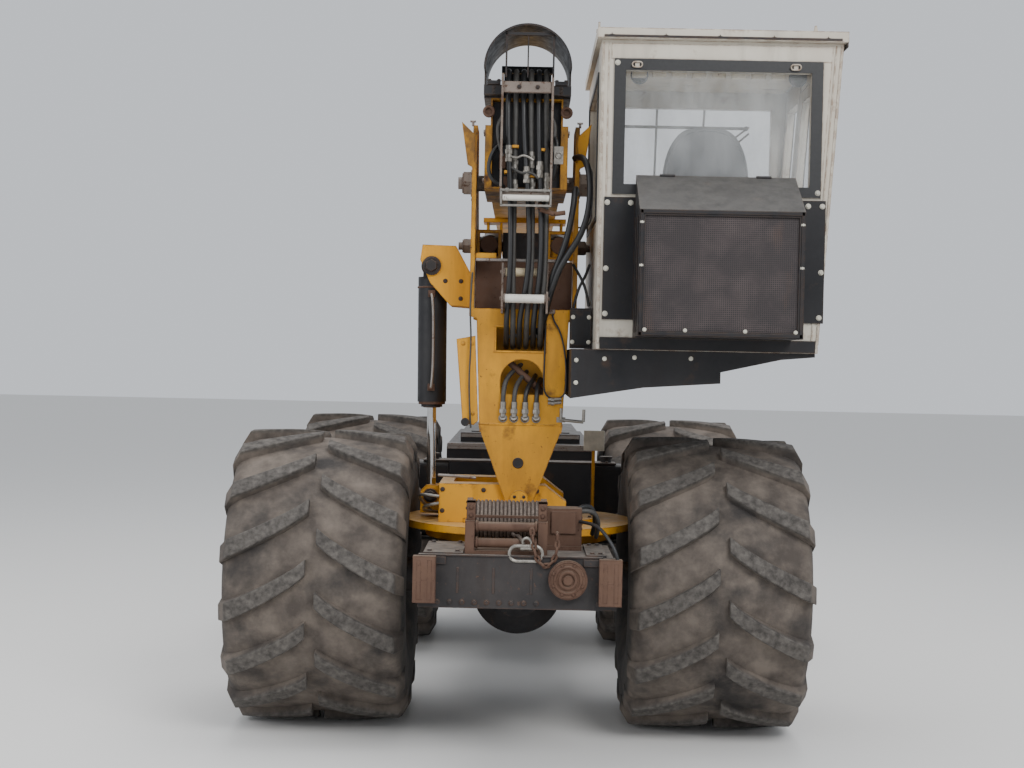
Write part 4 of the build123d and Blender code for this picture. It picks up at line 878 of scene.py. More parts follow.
# Mast's rear plate: the rim of its upper window and the weld beads where the plates start to narrow
shape = bmesh.new()
rim = (mast_rear - 0.006, mast_rear + 0.004)
block(shape, (-0.158, 0.14), rim, around([2.15, 2.29], 0.005))
block(shape, around([-0.15, 0.132], 0.005), rim, (2.15, 2.29))
for side in (-1, 1):
    bead = [(side * x, z) for x, z in ((0.218, 1.7), (0.228, 1.695), (0.236, 1.744), (0.226, 1.75))]
    upright_sheet(shape, bead, mast_rear - 0.002, 0.01)
block(shape, (-0.228, 0.228), around(mast_rear, 0.004), (1.738, 1.748))
finish_piece("mast_edges", shape, "tilting_mast", yellow)

shape = bmesh.new()
stubs = [-0.1, -0.038, 0.024, 0.086]
for high, low, radius, sides in ((1.87, 1.83, 0.017, 24), (1.83, 1.806, 0.022, 6), (1.806, 1.785, 0.016, 20)):
    bar(shape, stubs, -0.405, (high, low), radius, sides)
bar(shape, stubs, (-0.41, -0.38), (1.785, 1.775), 0.018)
for x in stubs:
    ring(shape, (x, -0.388, 1.777), to_front, 0.021, 0.004, 28, 8)
for z in (1.866, 1.886):
    bar(shape, (0.15, 0.225), -0.4, (z, z + 0.006), 0.009, 16)
    bar(shape, (0.165, 0.185), -0.4, z, 0.013, 6)
bar(shape, 0.225, -0.4, (1.84, 1.775), 0.009, 16)
bar(shape, (0.225, 0.35), -0.4, (1.775, 1.765), 0.009, 16)
bar(shape, (0.35, 0.352), -0.4, (1.765, 1.835), 0.009, 16)
block(shape, (0.2, 0.25), (mast_rear - 0.008, mast_rear + 0.002), (1.76, 1.79))
finish_piece("mast_fittings", shape, "tilting_mast", fitting, 0.001)

pipes("mast_pipe", [
    (0.02, rusty, (0.14, -0.3, 1.91), (0.06, -0.3, 1.975), (-0.07, -0.3, 2.09)),
    (0.013, old_hose, (-0.1, -0.405, 1.865), (-0.1, -0.405, 1.93), (-0.085, -0.36, 2.0), (-0.03, -0.28, 2.06),
     (0.0, -0.2, 2.08)),
    (0.013, old_hose, (-0.038, -0.405, 1.865), (-0.038, -0.405, 1.92), (-0.02, -0.36, 1.98),
     (0.02, -0.28, 2.03), (0.03, -0.2, 2.04)),
    (0.013, rubber, (0.024, -0.405, 1.865), (0.024, -0.405, 1.91), (0.04, -0.37, 1.96), (0.07, -0.29, 2.0),
     (0.08, -0.2, 2.02)),
    (0.013, rubber, (0.086, -0.405, 1.865), (0.086, -0.405, 1.9), (0.09, -0.37, 1.95), (0.1, -0.29, 1.98),
     (0.11, -0.2, 2.0)),
    (0.005, old_hose, (-0.285, -0.395, 2.588), (-0.297, -0.41, 2.4), (-0.283, -0.41, 2.2),
     (-0.296, -0.41, 1.95), (-0.278, -0.395, 1.72)),
    (0.008, rubber, (0.275, -0.395, 2.64), (0.3, -0.44, 2.6), (0.35, -0.45, 2.5), (0.365, -0.43, 2.41)),
    (0.008, rubber, (0.365, -0.4, 2.64), (0.345, -0.45, 2.58), (0.3, -0.46, 2.5), (0.28, -0.43, 2.4)),
    (0.008, fitting, (-0.1, -0.3, 2.2), (-0.06, -0.36, 2.26), (-0.02, -0.37, 2.23), (-0.01, -0.3, 2.19)),
    (0.008, fitting, (0.02, -0.3, 2.19), (0.04, -0.36, 2.25), (0.09, -0.37, 2.24), (0.11, -0.3, 2.19)),
], "tilting_mast")

# Dark core of the mast behind both windows
shape = bmesh.new()
block(shape, (-0.17, 0.15), (-0.206, -0.196), (1.84, 2.33))
bolts(shape, [-0.1, 0.0, 0.1], -0.206, 1.9, to_rear, 0.01)
finish_piece("mast_core", shape, "tilting_mast", black)

# Two thick supply hoses from the fork's right plate down into the upper window: name, length and route
thick_radius = 0.0175
thick_hoses = [
    ("supply_hose_outer", 1.29, [
        (0.27, -0.37, 3.235), (0.3, -0.42, 3.245), (0.335, -0.5, 3.2), (0.356, -0.53, 3.09),
        (0.35, -0.545, 2.93), (0.312, -0.55, 2.8), (0.255, -0.548, 2.71), (0.195, -0.535, 2.61),
        (0.157, -0.5, 2.5), (0.128, -0.455, 2.39), (0.113, -0.41, 2.3), (0.107, -0.33, 2.235),
        (0.105, -0.26, 2.23),
    ]),
    ("supply_hose_inner", 1.05, [
        (0.284, -0.37, 3.03), (0.282, -0.43, 3.06), (0.272, -0.49, 3.05), (0.267, -0.515, 2.97),
        (0.252, -0.52, 2.87), (0.232, -0.51, 2.77), (0.195, -0.5, 2.66), (0.155, -0.48, 2.56),
        (0.145, -0.445, 2.45), (0.12, -0.41, 2.33), (0.075, -0.35, 2.26), (0.07, -0.27, 2.25),
    ]),
]
for name, length, points in thick_hoses:
    places = [at(*point) for point in points]
    hose = pipe(name, places, thick_radius, "tilting_mast", rubber)

# Tilt cylinder: pin washer and nut on the arm, gland rings, port blocks and the pipes at its foot
shape = bmesh.new()
bar(shape, -0.53, (-0.128, -0.135), 2.636, 0.055, 32)
bolt(shape, (-0.53, -0.135, 2.636), to_rear, 0.036)
for x, z in ((-0.36, 2.45), (-0.36, 2.55), (-0.45, 2.55)):
    bolt(shape, (x, -0.12, z), to_rear, 0.01)
finish_piece("tilt_arm_bolts", shape, "tilting_mast", frame_grey)

tilt_top = Vector((-0.53, 0, 2.636))
tilt_way = (Vector((-0.514, 0, 1.31)) - tilt_top).normalized()


def down_cylinder(distance, x=0, y=0):
    """A place down the tilt cylinder's centre line, moved across and ahead of it."""
    return tilt_top + tilt_way * distance + Vector((x, y, 0))


shape = bmesh.new()
rod(shape, down_cylinder(0.775), down_cylinder(0.8), 0.078, 40)
rod(shape, down_cylinder(0.8), down_cylinder(0.819), 0.05, 32)
ring(shape, down_cylinder(0.12), tilt_way, 0.084, 0.006, 48, 8)
for distance in (0.16, 0.7):
    x, y, z = down_cylinder(distance)
    block(shape, around(x, 0.02), (y - 0.105, y - 0.075), around(z, 0.02))
    bar(shape, x, (y - 0.105, y - 0.12), z, 0.014, 6)
finish_piece("tilt_cylinder_rings", shape, "tilt_cylinder", rusty)
feed_line = [
    (0.7, 0, -0.115), (0.66, 0.01, -0.125), (0.4, 0.012, -0.1), (0.2, 0.01, -0.12), (0.16, 0, -0.115),
]
feed_places = [at(*down_cylinder(*step)) for step in feed_line]
pipe("tilt_cylinder_pipe", feed_places, 0.008, "tilt_cylinder", steel)

shape = bmesh.new()
bolt(shape, (-0.514, -0.086, 1.31), to_rear, 0.03)
for x, z in ((-0.43, 1.37), (-0.43, 1.25), (-0.2, 1.37), (0.1, 1.37), (0.22, 1.27)):
    bolt(shape, (x, -0.351, z), to_rear, 0.01)
for count in range(20):
    turn = math.radians(count * 18)
    x, y = 0.43 * math.cos(turn), 0.43 * math.sin(turn)
    if x > 0.28 or -0.36 < x < -0.28:
        bolt(shape, (x, y, 1.2073), upward)
finish_piece("turntable_bolts", shape, "turntable", frame_grey, 0.001)
pipes("tilt_hook", [
    (0.009, fitting, (-0.45, -0.352, 1.33), (-0.53, -0.36, 1.34), (-0.565, -0.3, 1.33), (-0.56, -0.2, 1.29),
     (-0.5, -0.1, 1.22)),
    (0.009, fitting, (-0.45, -0.352, 1.29), (-0.52, -0.35, 1.28), (-0.545, -0.28, 1.25), (-0.52, -0.2, 1.23),
     (-0.47, -0.12, 1.22)),
], "turntable")
tank_line = [at(-0.457, -0.352, 1.449), at(-0.35, -0.356, 1.447), at(-0.244, -0.352, 1.437)]
pipe("turntable_pipe", tank_line, 0.009, "turntable", steel)

# Winch: rope wound in rings, the bars over it, its posts and motor, the rope's thimble and the chain
strands = 17
first_strand = -0.232
strand_pitch = 0.0204
shape = bmesh.new()
for count in range(strands):
    x = first_strand + count * strand_pitch
    ring(shape, (x, -0.92, 1.265), to_side, 0.0955 - 0.0022 * (count % 3), 0.0098, 40, 8)
finish_piece("winch_rope_strands", shape, "rear_chassis", rope_wire, 0, 60)

shape = bmesh.new()
block(shape, (-0.234, 0.115), (-1.11, -1.095), (1.291, 1.305))
for low in (-0.262, 0.1):
    block(shape, (low, low + 0.044), (-1.235, -1.215), (1.29, 1.39))
    block(shape, (low, low + 0.044), (-1.235, -1.18), (1.378, 1.39))
    bolts(shape, low + 0.022, -1.235, [1.315, 1.355], to_rear, 0.009)
bar(shape, around([-0.21, 0.09], 0.006), -1.23, [1.178, 1.26], 0.031, 28)
bar(shape, (0.2, 0.322), -0.93, 1.255, 0.062, 32)
bar(shape, (0.322, 0.33), -0.93, 1.255, 0.045, 28)
bolt_circle(shape, (0.33, -0.93, 1.255), to_side, 0.034, 6, 0.006)
for x, side in ((-0.27, -1), (0.146, 1)):
    bolt_circle(shape, (x, -0.92, 1.265), (side, 0, 0), 0.088, 8, 0.008)
block(shape, (0.17, 0.3), (-1.005, -0.99), (1.205, 1.32))
finish_piece("winch_fittings", shape, "rear_chassis", rusty)

shape = bmesh.new()
ring(shape, (0.04, -1.3, 1.135), to_front, 0.038, 0.009, 36, 8, 0.045)
bar(shape, (0.012, 0.068), -1.3, 1.16, 0.008)
ring(shape, (0.045, -1.3, 1.19), (0.4, 1, 0.2), 0.024, 0.007, 28, 8)
finish_piece("rope_thimble", shape, "rear_chassis", fitting, 0)
rope_line = [
    (-0.03, -0.99, 1.2), (-0.02, -1.12, 1.2), (0.0, -1.2, 1.215), (0.02, -1.27, 1.2), (0.035, -1.3, 1.165),
]
pipe("winch_rope_end", [at(*point) for point in rope_line], 0.009, "rear_chassis", rope_wire)

# Chain hung over the deck's edge: link centres from the deck's left hook round to its right one
chain_line = [
    (0.07, 1.245), (0.074, 1.21), (0.08, 1.175), (0.087, 1.14), (0.1, 1.11), (0.12, 1.085), (0.143, 1.078),
    (0.165, 1.09), (0.183, 1.115), (0.193, 1.15), (0.197, 1.185), (0.196, 1.22),
]
shape = bmesh.new()
for count, (x, z) in enumerate(chain_line):
    before = chain_line[max(count - 1, 0)]
    after = chain_line[min(count + 1, len(chain_line) - 1)]
    way = Vector((after[0] - before[0], 0, after[1] - before[1])).normalized()
    side = Vector(to_front) if count % 2 else way.cross(Vector(to_front))
    link(shape, (x, -1.31, z), way, side)
bar(shape, [0.07, 0.196], (-1.31, -1.26), 1.235, 0.011)
bar(shape, [0.07, 0.196], -1.26, (1.235, 1.205), 0.011)
finish_piece("deck_chain", shape, "rear_chassis", rusty, 0)

# Rear end: plates and bolts on the deck, the bumper's edge, eyes at its ends and rings on the boss
boss_x = 0.253
shape = bmesh.new()
for low, high in ((-0.476, -0.275), (0.345, 0.446)):
    block(shape, (low, high), (-1.28, -0.8), (1.119, 1.131))
    bolts(shape, [low + 0.03, high - 0.03], [-1.24, -0.86], 1.131, upward, 0.013)
block(shape, (-0.498, 0.428), (-1.308, -1.272), (1.116, 1.124))
block(shape, [(-0.49, -0.36), (0.33, 0.425)], (-1.31, -1.3), (1.075, 1.112))
bumper_bolts = [-0.4 + count * 0.062 for count in range(14)]
bolts(shape, [x for x in bumper_bolts if abs(x - boss_x) > 0.12], -1.3, 0.885, to_rear, 0.011)
block(shape, around([-0.3, -0.12, 0.07], 0.006), (-1.303, -1.299), (0.93, 1.06))
finish_piece("deck_fittings", shape, "rear_chassis", frame_grey)

shape = bmesh.new()
block(shape, around([-0.492, -0.438, 0.438, 0.492], 0.012), (-1.361, -1.35), (0.9, 1.1))
bar(shape, around([-0.465, 0.465], 0.052), -1.348, 1.0, 0.013)
for radius, deep in ((0.09, 0.004), (0.066, 0.008), (0.04, 0.01)):
    ring(shape, (boss_x, -1.34, 1.01), to_front, radius, deep, 56, 8)
bar(shape, boss_x, (-1.335, -1.352), 1.01, 0.024, 28)
bolt_circle(shape, (boss_x, -1.34, 1.01), to_rear, 0.078, 8, 0.008, 22)
finish_piece("bumper_eyes", shape, "rear_chassis", rusty, 0.003)
pipes("rear_pipe", [
    (0.009, rubber, (0.32, -1.0, 1.27), (0.38, -1.12, 1.275), (0.43, -1.27, 1.25), (0.49, -1.33, 1.16),
     (0.5, -1.33, 1.11)),
    (0.013, rubber, (0.29, -0.9, 1.31), (0.36, -0.86, 1.36), (0.42, -0.8, 1.28), (0.4, -0.66, 1.17)),
    (0.013, old_hose, (0.29, -0.96, 1.31), (0.38, -0.96, 1.34), (0.43, -0.88, 1.25), (0.42, -0.7, 1.16)),
], "rear_chassis")

# Hood: light steel strips on its top edges, a painted highlight of its top seen at a grazing angle; latches,
# louvres and seams; posts and the blank plate behind it
hood_rear = 1.56
hood_front = 3.95
hood_side = 0.5
# Light steel strips along the hood's top edges and across its top: painted highlight of the top seen at a
# grazing angle
shape = bmesh.new()
rear_edges = [(-0.498, -0.158), (0.19, 0.498)]
block(shape, rear_edges, (hood_rear - 0.008, hood_rear + 0.03), (1.508, 1.528))
block(shape, rear_edges, (hood_rear - 0.008, hood_rear), (1.488, 1.508))
block(shape, (-0.415, 0.415), (1.892, 1.9), (1.553, 1.578))
finish_piece("hood_highlight_strips", shape, "front_chassis", steel, 0.001)

shape = bmesh.new()
seams = mirrored(hood_side, hood_side + 0.004)
block(shape, seams, around([1.62, 2.42, 3.22, 3.9], 0.006), (1.12, 1.5))
block(shape, seams, (1.62, 3.9), [(1.12, 1.13), (1.49, 1.5)])
for panel in (1.72, 2.52, 3.32):
    for side, count in itertools.product((-1, 1), range(7)):
        start = Vector((side * (hood_side - 0.004), panel, 1.2 + count * 0.036))
        outward, along = Vector((side * 0.018, 0, -0.016)), Vector((0, 0.42, 0))
        louvre = [start, start + outward, start + outward + along, start + along]
        sheet_metal(shape, louvre, (0, 0, 0.004))
    latches = [(panel + 0.06, panel + 0.11), (panel + 0.44, panel + 0.49)]
    block(shape, mirrored(hood_side, hood_side + 0.012), latches, (1.455, 1.48))
block(shape, around([-0.3, 0.3], 0.05), (hood_front - 1.9, hood_front - 1.7), (1.585, 1.592))
block(shape, (-0.25, 0.25), around([2.31 + count * 0.05 for count in range(9)], 0.01), (1.585, 1.594))
bar(shape, 0, 3.2, (1.585, 1.625), 0.05, 32)
bar(shape, 0, 3.2, (1.625, 1.64), 0.058, 32)
finish_piece("hood_panels", shape, "front_chassis", black, 0.0015)

front_end = 4.12
shape = bmesh.new()
trim = (hood_front, hood_front + 0.012)
bar(shape, [-0.38, 0.38], hood_front + 0.012, (1.2, 1.41), 0.011)
block(shape, (-0.395, 0.395), trim, [(1.145, 1.16), (1.45, 1.465)])
block(shape, mirrored(0.38, 0.395), trim, (1.145, 1.465))
bolts(shape, [-0.36, 0.0, 0.36], hood_front + 0.012, [1.152, 1.457], to_front, 0.009)
bolts(shape, [-0.5, -0.2, 0.12, 0.46], front_end + 0.06, [0.805, 0.895], to_front, 0.013)
finish_piece("grille_trim", shape, "front_chassis", frame_grey)

shape = bmesh.new()
for x in (-0.4, 0.4):
    ring(shape, (x, front_end + 0.045, 1.0), to_front, 0.056, 0.006, 48, 8)
    bar(shape, x, (front_end + 0.045, front_end + 0.051), 1.0, 0.05, 40, 0.03)
finish_piece("lamp_rims", shape, "front_chassis", steel, 0.001)

shape = bmesh.new()
block(shape, (0.462, 0.482), (0.9, 0.925), (1.062, 1.6))
block(shape, (0.44, 0.51), (0.885, 0.94), (1.06, 1.072))
finish_piece("plate_post", shape, "rear_chassis", yellow)
shape = bmesh.new()
block(shape, (0.407, 0.54), (0.892, 0.9), (1.532, 1.662))
finish_piece("blank_plate", shape, "rear_chassis", pad_white)
shape = bmesh.new()
block(shape, (-0.62, 0.62), (0.935, 1.13), (1.441, 1.452))
bolts(shape, [-0.56, 0.56], [0.96, 1.1], 1.452, upward)
bar(shape, [-0.56, 0.56], 1.035, (1.44, 1.475), 0.035, 28)
bar(shape, [-0.56, 0.56], 1.035, (1.475, 1.49), 0.042, 28)
finish_piece("tank_fittings", shape, "rear_chassis", frame_grey)

# Cab: skin panels with their seams, roof rails with bolts, aerial and beacon, hooks and bolts
wall_foot = (1.57, 2.17)
wall_rise = 1.645
wall_lean = 0.103


def leaning_x(z):
    """Outer face of the right wall at height z."""
    return wall_foot[0] + (z - wall_foot[1]) * wall_lean / wall_rise


shape = bmesh.new()
for left, low, high in ((0.442, 3.713, 3.795), (1.564, 2.985, 3.713)):
    panel = [(left, low), (leaning_x(low) - 0.055, low), (leaning_x(high) - 0.055, high), (left, high)]
    upright_sheet(shape, panel, cab_rear, -0.004)
for low, high in ((2.2, 3.0), (3.0, 3.8)):
    for inner, outer in ((0.043, 0.036), (0.016, 0.008)):
        strip = ((low, inner), (low, outer), (high, outer), (high, inner))
        upright_sheet(shape, [(leaning_x(z) - edge, z) for z, edge in strip], cab_rear, -0.006)
block(shape, (0.396, 0.406), (cab_rear - 0.005, cab_rear), (2.2, 3.8))
block(shape, (0.424, 0.432), (cab_rear - 0.004, cab_rear), (2.98, 3.8))
finish_piece("cab_rear_skin", shape, "tilting_mast", cab_white)

shape = bmesh.new()
block(shape, (0.4, 1.655), (-0.845, -0.815), (3.82, 3.832))
block(shape, (0.4, 1.655), (-0.78, -0.75), (3.86, 3.87))
rail_bolts = [0.44 + count * 0.285 for count in range(5)]
bolts(shape, rail_bolts, -0.83, 3.832, upward)
bolts(shape, [x - 0.02 for x in rail_bolts], -0.765, 3.87, upward, 0.011)
bolts(shape, rail_bolts, [0.3, 0.75], 3.87, upward, 0.011)
block(shape, around([0.39, 1.66], 0.012), (-0.76, 0.76), (3.87, 3.882))
block(shape, (1.683, 1.69), (-0.83, -0.2), (3.79, 3.816))
finish_piece("roof_rails", shape, "tilting_mast", frame_grey, 0.001)

shape = bmesh.new()
bar(shape, 0.378, -0.7, (3.868, 3.926), 0.006)
bar(shape, 0.378, -0.7, (3.868, 3.885), 0.016)
bar(shape, 1.538, -0.7, (3.868, 3.928), 0.018, 24, 0.006)
bar(shape, 1.538, -0.7, (3.868, 3.88), 0.026, 24)
for x in (0.578, 1.417):
    ring(shape, (x, -0.824, 3.68), (0, 1, 0.3), 0.014, 0.004, 28, 8, 0.012)
    block(shape, around(x, 0.012), (-0.822, -0.812), (3.668, 3.69))
finish_piece("roof_fittings", shape, "tilting_mast", cab_white, 0.001)

cooler_back = cab_rear - 0.35
shape = bmesh.new()
bolts(shape, 0.435, cab_rear - 0.01, [2.95, 2.6, 2.36], to_rear, 0.011)
bolts(shape, [0.56, 1.5, 1.575], cab_rear - 0.01, 2.95, to_rear, 0.011)
for x, z in ((1.575, 2.6), (1.57, 2.36)):
    bolt(shape, (x, cab_rear - 0.01, z), to_rear, 0.011)
for x, z in ((0.475, 3.69), (1.548, 3.02)):
    bolt(shape, (x, cab_rear - 0.012, z), to_rear, 0.011)
bolts(shape, [0.62, 0.827, 1.133, 1.39], cooler_back, 2.272, to_rear, 0.008)
bolts(shape, [0.597, 1.416], cooler_back, [2.6, 2.82], to_rear, 0.008)
finish_piece("cab_screws", shape, "tilting_mast", pad_white, 0.001)

# Cooler: frame round the mesh, ribs on its sides and hinges on the slope
shape = bmesh.new()
rim = (cooler_back - 0.006, cooler_back)
block(shape, (0.59, 1.423), rim, [(2.244, 2.262), (2.865, 2.884)])
block(shape, [(0.59, 0.604), (1.409, 1.423)], rim, (2.244, 2.884))
ribs = [(cab_rear - 0.27, cab_rear - 0.258), (cab_rear - 0.15, cab_rear - 0.138)]
block(shape, [(0.579, 0.584), (1.429, 1.434)], ribs, (2.26, 2.86))
bar(shape, around([0.75, 1.26], 0.04), cab_rear - 0.02, 3.095, 0.009)
finish_piece("cooler_trim", shape, "tilting_mast", black, 0.0015)

# Cab: vents and lining under the roof, two round lamps and the rods before the windscreen
shape = bmesh.new()
block(shape, around([0.605 + count * 0.1075 for count in range(8)], 0.038), (-0.62, -0.58), (3.652, 3.692))
block(shape, (0.45, 1.6), (-0.74, 0.69), (3.8, 3.812))
finish_piece("cab_vents", shape, "tilting_mast", cream, 0.004)
shape = bmesh.new()
block(shape, (0.55, 1.47), (-0.6, -0.56), (3.69, 3.708))
bar(shape, [0.62, 1.5], -0.4, (3.8, 3.73), 0.008)
bar(shape, [0.62, 1.5], (-0.41, -0.39), 3.7, 0.05, 32)
finish_piece("cab_ceiling_fittings", shape, "tilting_mast", black, 0.003)
shape = bmesh.new()
guard_y = 0.762
for x, z, radius in (
    ((0.47, 1.38), 3.59, 0.01), ((0.8, 0.82), (2.8, 3.75), 0.007), ((1.1, 1.12), (3.36, 3.75), 0.007),
    ((1.1, 1.13), (3.36, 3.1), 0.007), ((1.4, 1.17), (3.6, 3.42), 0.006), ((1.4, 1.19), (3.56, 3.38), 0.006),
    ((1.17, 1.2), (3.45, 2.95), 0.008),
):
    bar(shape, x, guard_y, z, radius, 12)
for x, z in ((0.8, 2.8), (0.82, 3.75), (1.12, 3.75), (0.47, 3.59), (1.38, 3.59)):
    bar(shape, x, (guard_y - 0.012, guard_y + 0.006), z, 0.015, 16)
finish_piece("front_window_rods", shape, "tilting_mast", frame_grey, 0)

# Rubber round the front and left windows: the panes' outlines as flat frames
shape = bmesh.new()
block(shape, (0.44, 1.56), (0.75, 0.758), [(2.73, 2.76), (3.7, 3.73)])
block(shape, [(0.44, 0.47), (1.53, 1.56)], (0.75, 0.758), (2.76, 3.7))
block(shape, (0.382, 0.39), (cab_rear + 0.22, cab_rear + 1.38), [(2.87, 2.9), (3.65, 3.68)])
uprights = [(cab_rear + 0.22, cab_rear + 0.25), (cab_rear + 1.35, cab_rear + 1.38)]
block(shape, (0.382, 0.39), uprights, (2.9, 3.65))
finish_piece("window_rubbers", shape, "tilting_mast", rubber)

# Right wall and door: rubber round their panes, the handle and the pressed panel under the door's pane
lean_angle = math.atan2(wall_lean, wall_rise)
lean_up = Vector((math.sin(lean_angle), 0, math.cos(lean_angle)))
lean_out = Vector((math.cos(lean_angle), 0, -math.sin(lean_angle)))
lean_foot = Vector((wall_foot[0], cab_rear, wall_foot[1]))


def on_right_wall(shape, u, v, out):
    """Blocks on the leaning wall: distances from the rear, up the slope and out of the face."""
    for vert in block(shape, out, u, v):
        vert.co = lean_foot + Vector((0, vert.co.y, 0)) + lean_up * vert.co.z + lean_out * vert.co.x


def frame_on_wall(shape, u, v, width=0.025, out=(0, 0.007)):
    """Four flat strips round a pane."""
    on_right_wall(shape, (u[0] - width, u[1] + width), [(v[0] - width, v[0]), (v[1], v[1] + width)], out)
    on_right_wall(shape, [(u[0] - width, u[0]), (u[1], u[1] + width)], v, out)


wall_top = (wall_rise - 0.045 * math.sin(lean_angle)) / math.cos(lean_angle)
shape = bmesh.new()
frame_on_wall(shape, (1.08, 1.44), (0.76, wall_top - 0.14))
finish_piece("side_window_rubber", shape, "tilting_mast", rubber)
door_top = wall_top - 0.085
shape = bmesh.new()
frame_on_wall(shape, (0.23, 0.92), (0.7, door_top - 0.08))
on_right_wall(shape, (0.87, 0.95), (0.55, 0.6), (0, 0.012))
on_right_wall(shape, (0.88, 0.9), (0.5, 0.65), (0.02, 0.032))
on_right_wall(shape, (0.88, 0.9), [(0.505, 0.519), (0.63, 0.644)], (0, 0.03))
finish_piece("door_fittings", shape, "door", rubber, 0.003)
shape = bmesh.new()
on_right_wall(shape, (0.2, 0.95), [(0.12, 0.128), (0.59, 0.598)], (0, 0.005))
on_right_wall(shape, [(0.2, 0.208), (0.942, 0.95)], (0.12, 0.598), (0, 0.005))
finish_piece("door_pressing", shape, "door", cab_white)

# Seat: crowned cushions with seams and piping, on a frame with bellows
seat_x = 0.994
seat_y = cab_rear + 0.48
squareness = 5.0
seams = (-0.5, 0.5)
seam_width = 0.035
seam_depth = 0.16


def narrowing(z, taper):
    """How wide a cushion is at height z, from -1 to 1, when it narrows to the top."""
    return 1 - taper * max(0.0, (z - 0.1) / 0.9) ** 2


def cushion(shape, centre, half, crown, taper, cuts=23):
    """A rounded pad, its broad faces along Y: half sizes, the faces' bulge and the narrowing to the top."""
    bmesh.ops.create_cube(shape, size=2)
    bmesh.ops.subdivide_edges(shape, edges=shape.edges[:], cuts=cuts, use_grid_fill=True)
    for vert in shape.verts:
        size = sum(abs(value) ** squareness for value in vert.co) ** (1 / squareness)
        x, y, z = vert.co / size
        swell = 1 + crown * (1 - x * x) * (1 - z * z)
        for seam in seams:
            swell -= seam_depth * math.exp(-((x - seam) / seam_width) ** 2)
        crease = 0.012 * math.sin(7 * x + 3 * z) * (1 - abs(z)) + 0.01 * math.sin(11 * z + 5 * x)
        wide = half[0] * narrowing(z, taper)
        vert.co = Vector(centre) + Vector((x * wide, y * half[1] * (swell + crease), z * half[2]))


def piping(shape, centre, half, taper, thickness=0.005):
    """A cord of cloth round the edge of a cushion's broad face."""
    places = []
    for part in range(64):
        turn = 2 * math.pi * part / 64
        x, z = math.cos(turn), math.sin(turn)
        size = (abs(x) ** squareness + abs(z) ** squareness + 0.75 ** squareness) ** (1 / squareness)
        x, z = x / size, z / size
        places.append(Vector(centre) + Vector((x * half[0] * narrowing(z, taper), 0, z * half[2])))
    loop_tube(shape, places, thickness)


shape = bmesh.new()
back_centre = Vector((seat_x, seat_y - 0.11, 3.055))
back_half = (0.238, 0.058, 0.35)
cushion(shape, back_centre, back_half, 0.22, 0.3)
for offset in (-0.047, 0.047):
    piping(shape, back_centre + Vector((0, offset, 0)), back_half, 0.3)
seat_back = finish_piece("seat_back", shape, "tilting_mast", seat_cloth, 0, 60)
shape = bmesh.new()
base_half = (0.248, 0.058, 0.245)
cushion(shape, (0, 0, 0), base_half, 0.25, 0.12)
piping(shape, (0, -0.047, 0), base_half, 0.12)
turn_flat = Matrix.Translation((seat_x, seat_y + 0.08, 2.622)) @ Matrix.Rotation(math.radians(-90), 4, "X")
bmesh.ops.transform(shape, matrix=turn_flat, verts=shape.verts)
seat_base = finish_piece("seat_cushion", shape, "tilting_mast", seat_cloth, 0, 60)
shape = bmesh.new()
block(shape, around(seat_x, 0.18), (seat_y - 0.15, seat_y + 0.25), (2.216, 2.3))
block(shape, around(seat_x, 0.2), (seat_y - 0.16, seat_y + 0.3), (2.52, 2.57))
bellows = around([2.335 + count * 0.045 for count in range(5)], 0.015)
block(shape, around(seat_x, 0.165), (seat_y - 0.13, seat_y + 0.23), bellows)
block(shape, around(seat_x, 0.15), (seat_y - 0.12, seat_y + 0.22), (2.3, 2.53))
bar(shape, [seat_x - 0.2, seat_x + 0.2], (seat_y - 0.1, seat_y - 0.14), (2.58, 2.86), 0.016)
bar(shape, seat_x - 0.02, (seat_y - 0.168, seat_y - 0.174), 3.28, 0.012)
seat_frame = finish_piece("seat_frame", shape, "tilting_mast", black, 0.006)
for piece in (seat_back, seat_base, seat_frame):
    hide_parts("seat")

# Levers: gaiters, pads and buttons on the two consoles
shape = bmesh.new()
for middle in (seat_x - 0.33, seat_x + 0.33):
    for count in range(4):
        z = 2.802 + count * 0.014
        bar(shape, middle, seat_y + 0.33, (z, z + 0.012), 0.034 - count * 0.006)
    block(shape, around(middle, 0.045), (seat_y - 0.03, seat_y + 0.2), (2.8, 2.825))
    bar(shape, [middle - 0.03, middle, middle + 0.03], seat_y + 0.25, (2.8, 2.81), 0.008)
    bar(shape, middle, (seat_y + 0.33, seat_y + 0.325), (2.985, 3.02), 0.026, 24, 0.018)
finish_piece("lever_fittings", shape, "tilting_mast", rubber, 0.003)

# Boom: bolts at its pads and doubler, the lift pin's ends, end collars and weld beads
boom_z = 3.3
boom_front = 6.6
shape = bmesh.new()
pad_rows = [boom_front - 0.05, boom_front - 0.14]
for side in (-1, 1):
    bolts(shape, side * 0.2, pad_rows, [3.13, 3.22, 3.31, 3.4, 3.47], (side, 0, 0))
    bolts(shape, [-0.13, -0.045, 0.045, 0.13], pad_rows, boom_z + side * 0.25, (0, 0, side))
    bolts(shape, side * 0.23, [-0.4, -0.3, 0.05, 0.2], [3.1, 3.37], (side, 0, 0), 0.013)
    bar(shape, (side * 0.2545, side * 0.268), 1.45, 2.92, 0.038, 32)
    bolt(shape, (side * 0.268, 1.45, 2.92), (side, 0, 0), 0.02)
finish_piece("boom_bolts", shape, "boom", steel, 0.001)

shape = bmesh.new()
collar = (boom_front - 0.2, boom_front - 0.182)
block(shape, mirrored(0.2, 0.212), collar, (3.05, 3.55))
block(shape, (-0.212, 0.212), collar, [(3.038, 3.05), (3.55, 3.562)])
block(shape, mirrored(0.2, 0.208), (boom_front - 0.006, boom_front), (3.05, 3.55))
block(shape, mirrored(0.2, 0.205), (0.3, boom_front - 0.2), (3.068, 3.08))
block(shape, mirrored(0.2, 0.205), (0.45, boom_front - 0.2), (3.52, 3.532))
finish_piece("boom_collar", shape, "boom", yellow, 0.003)

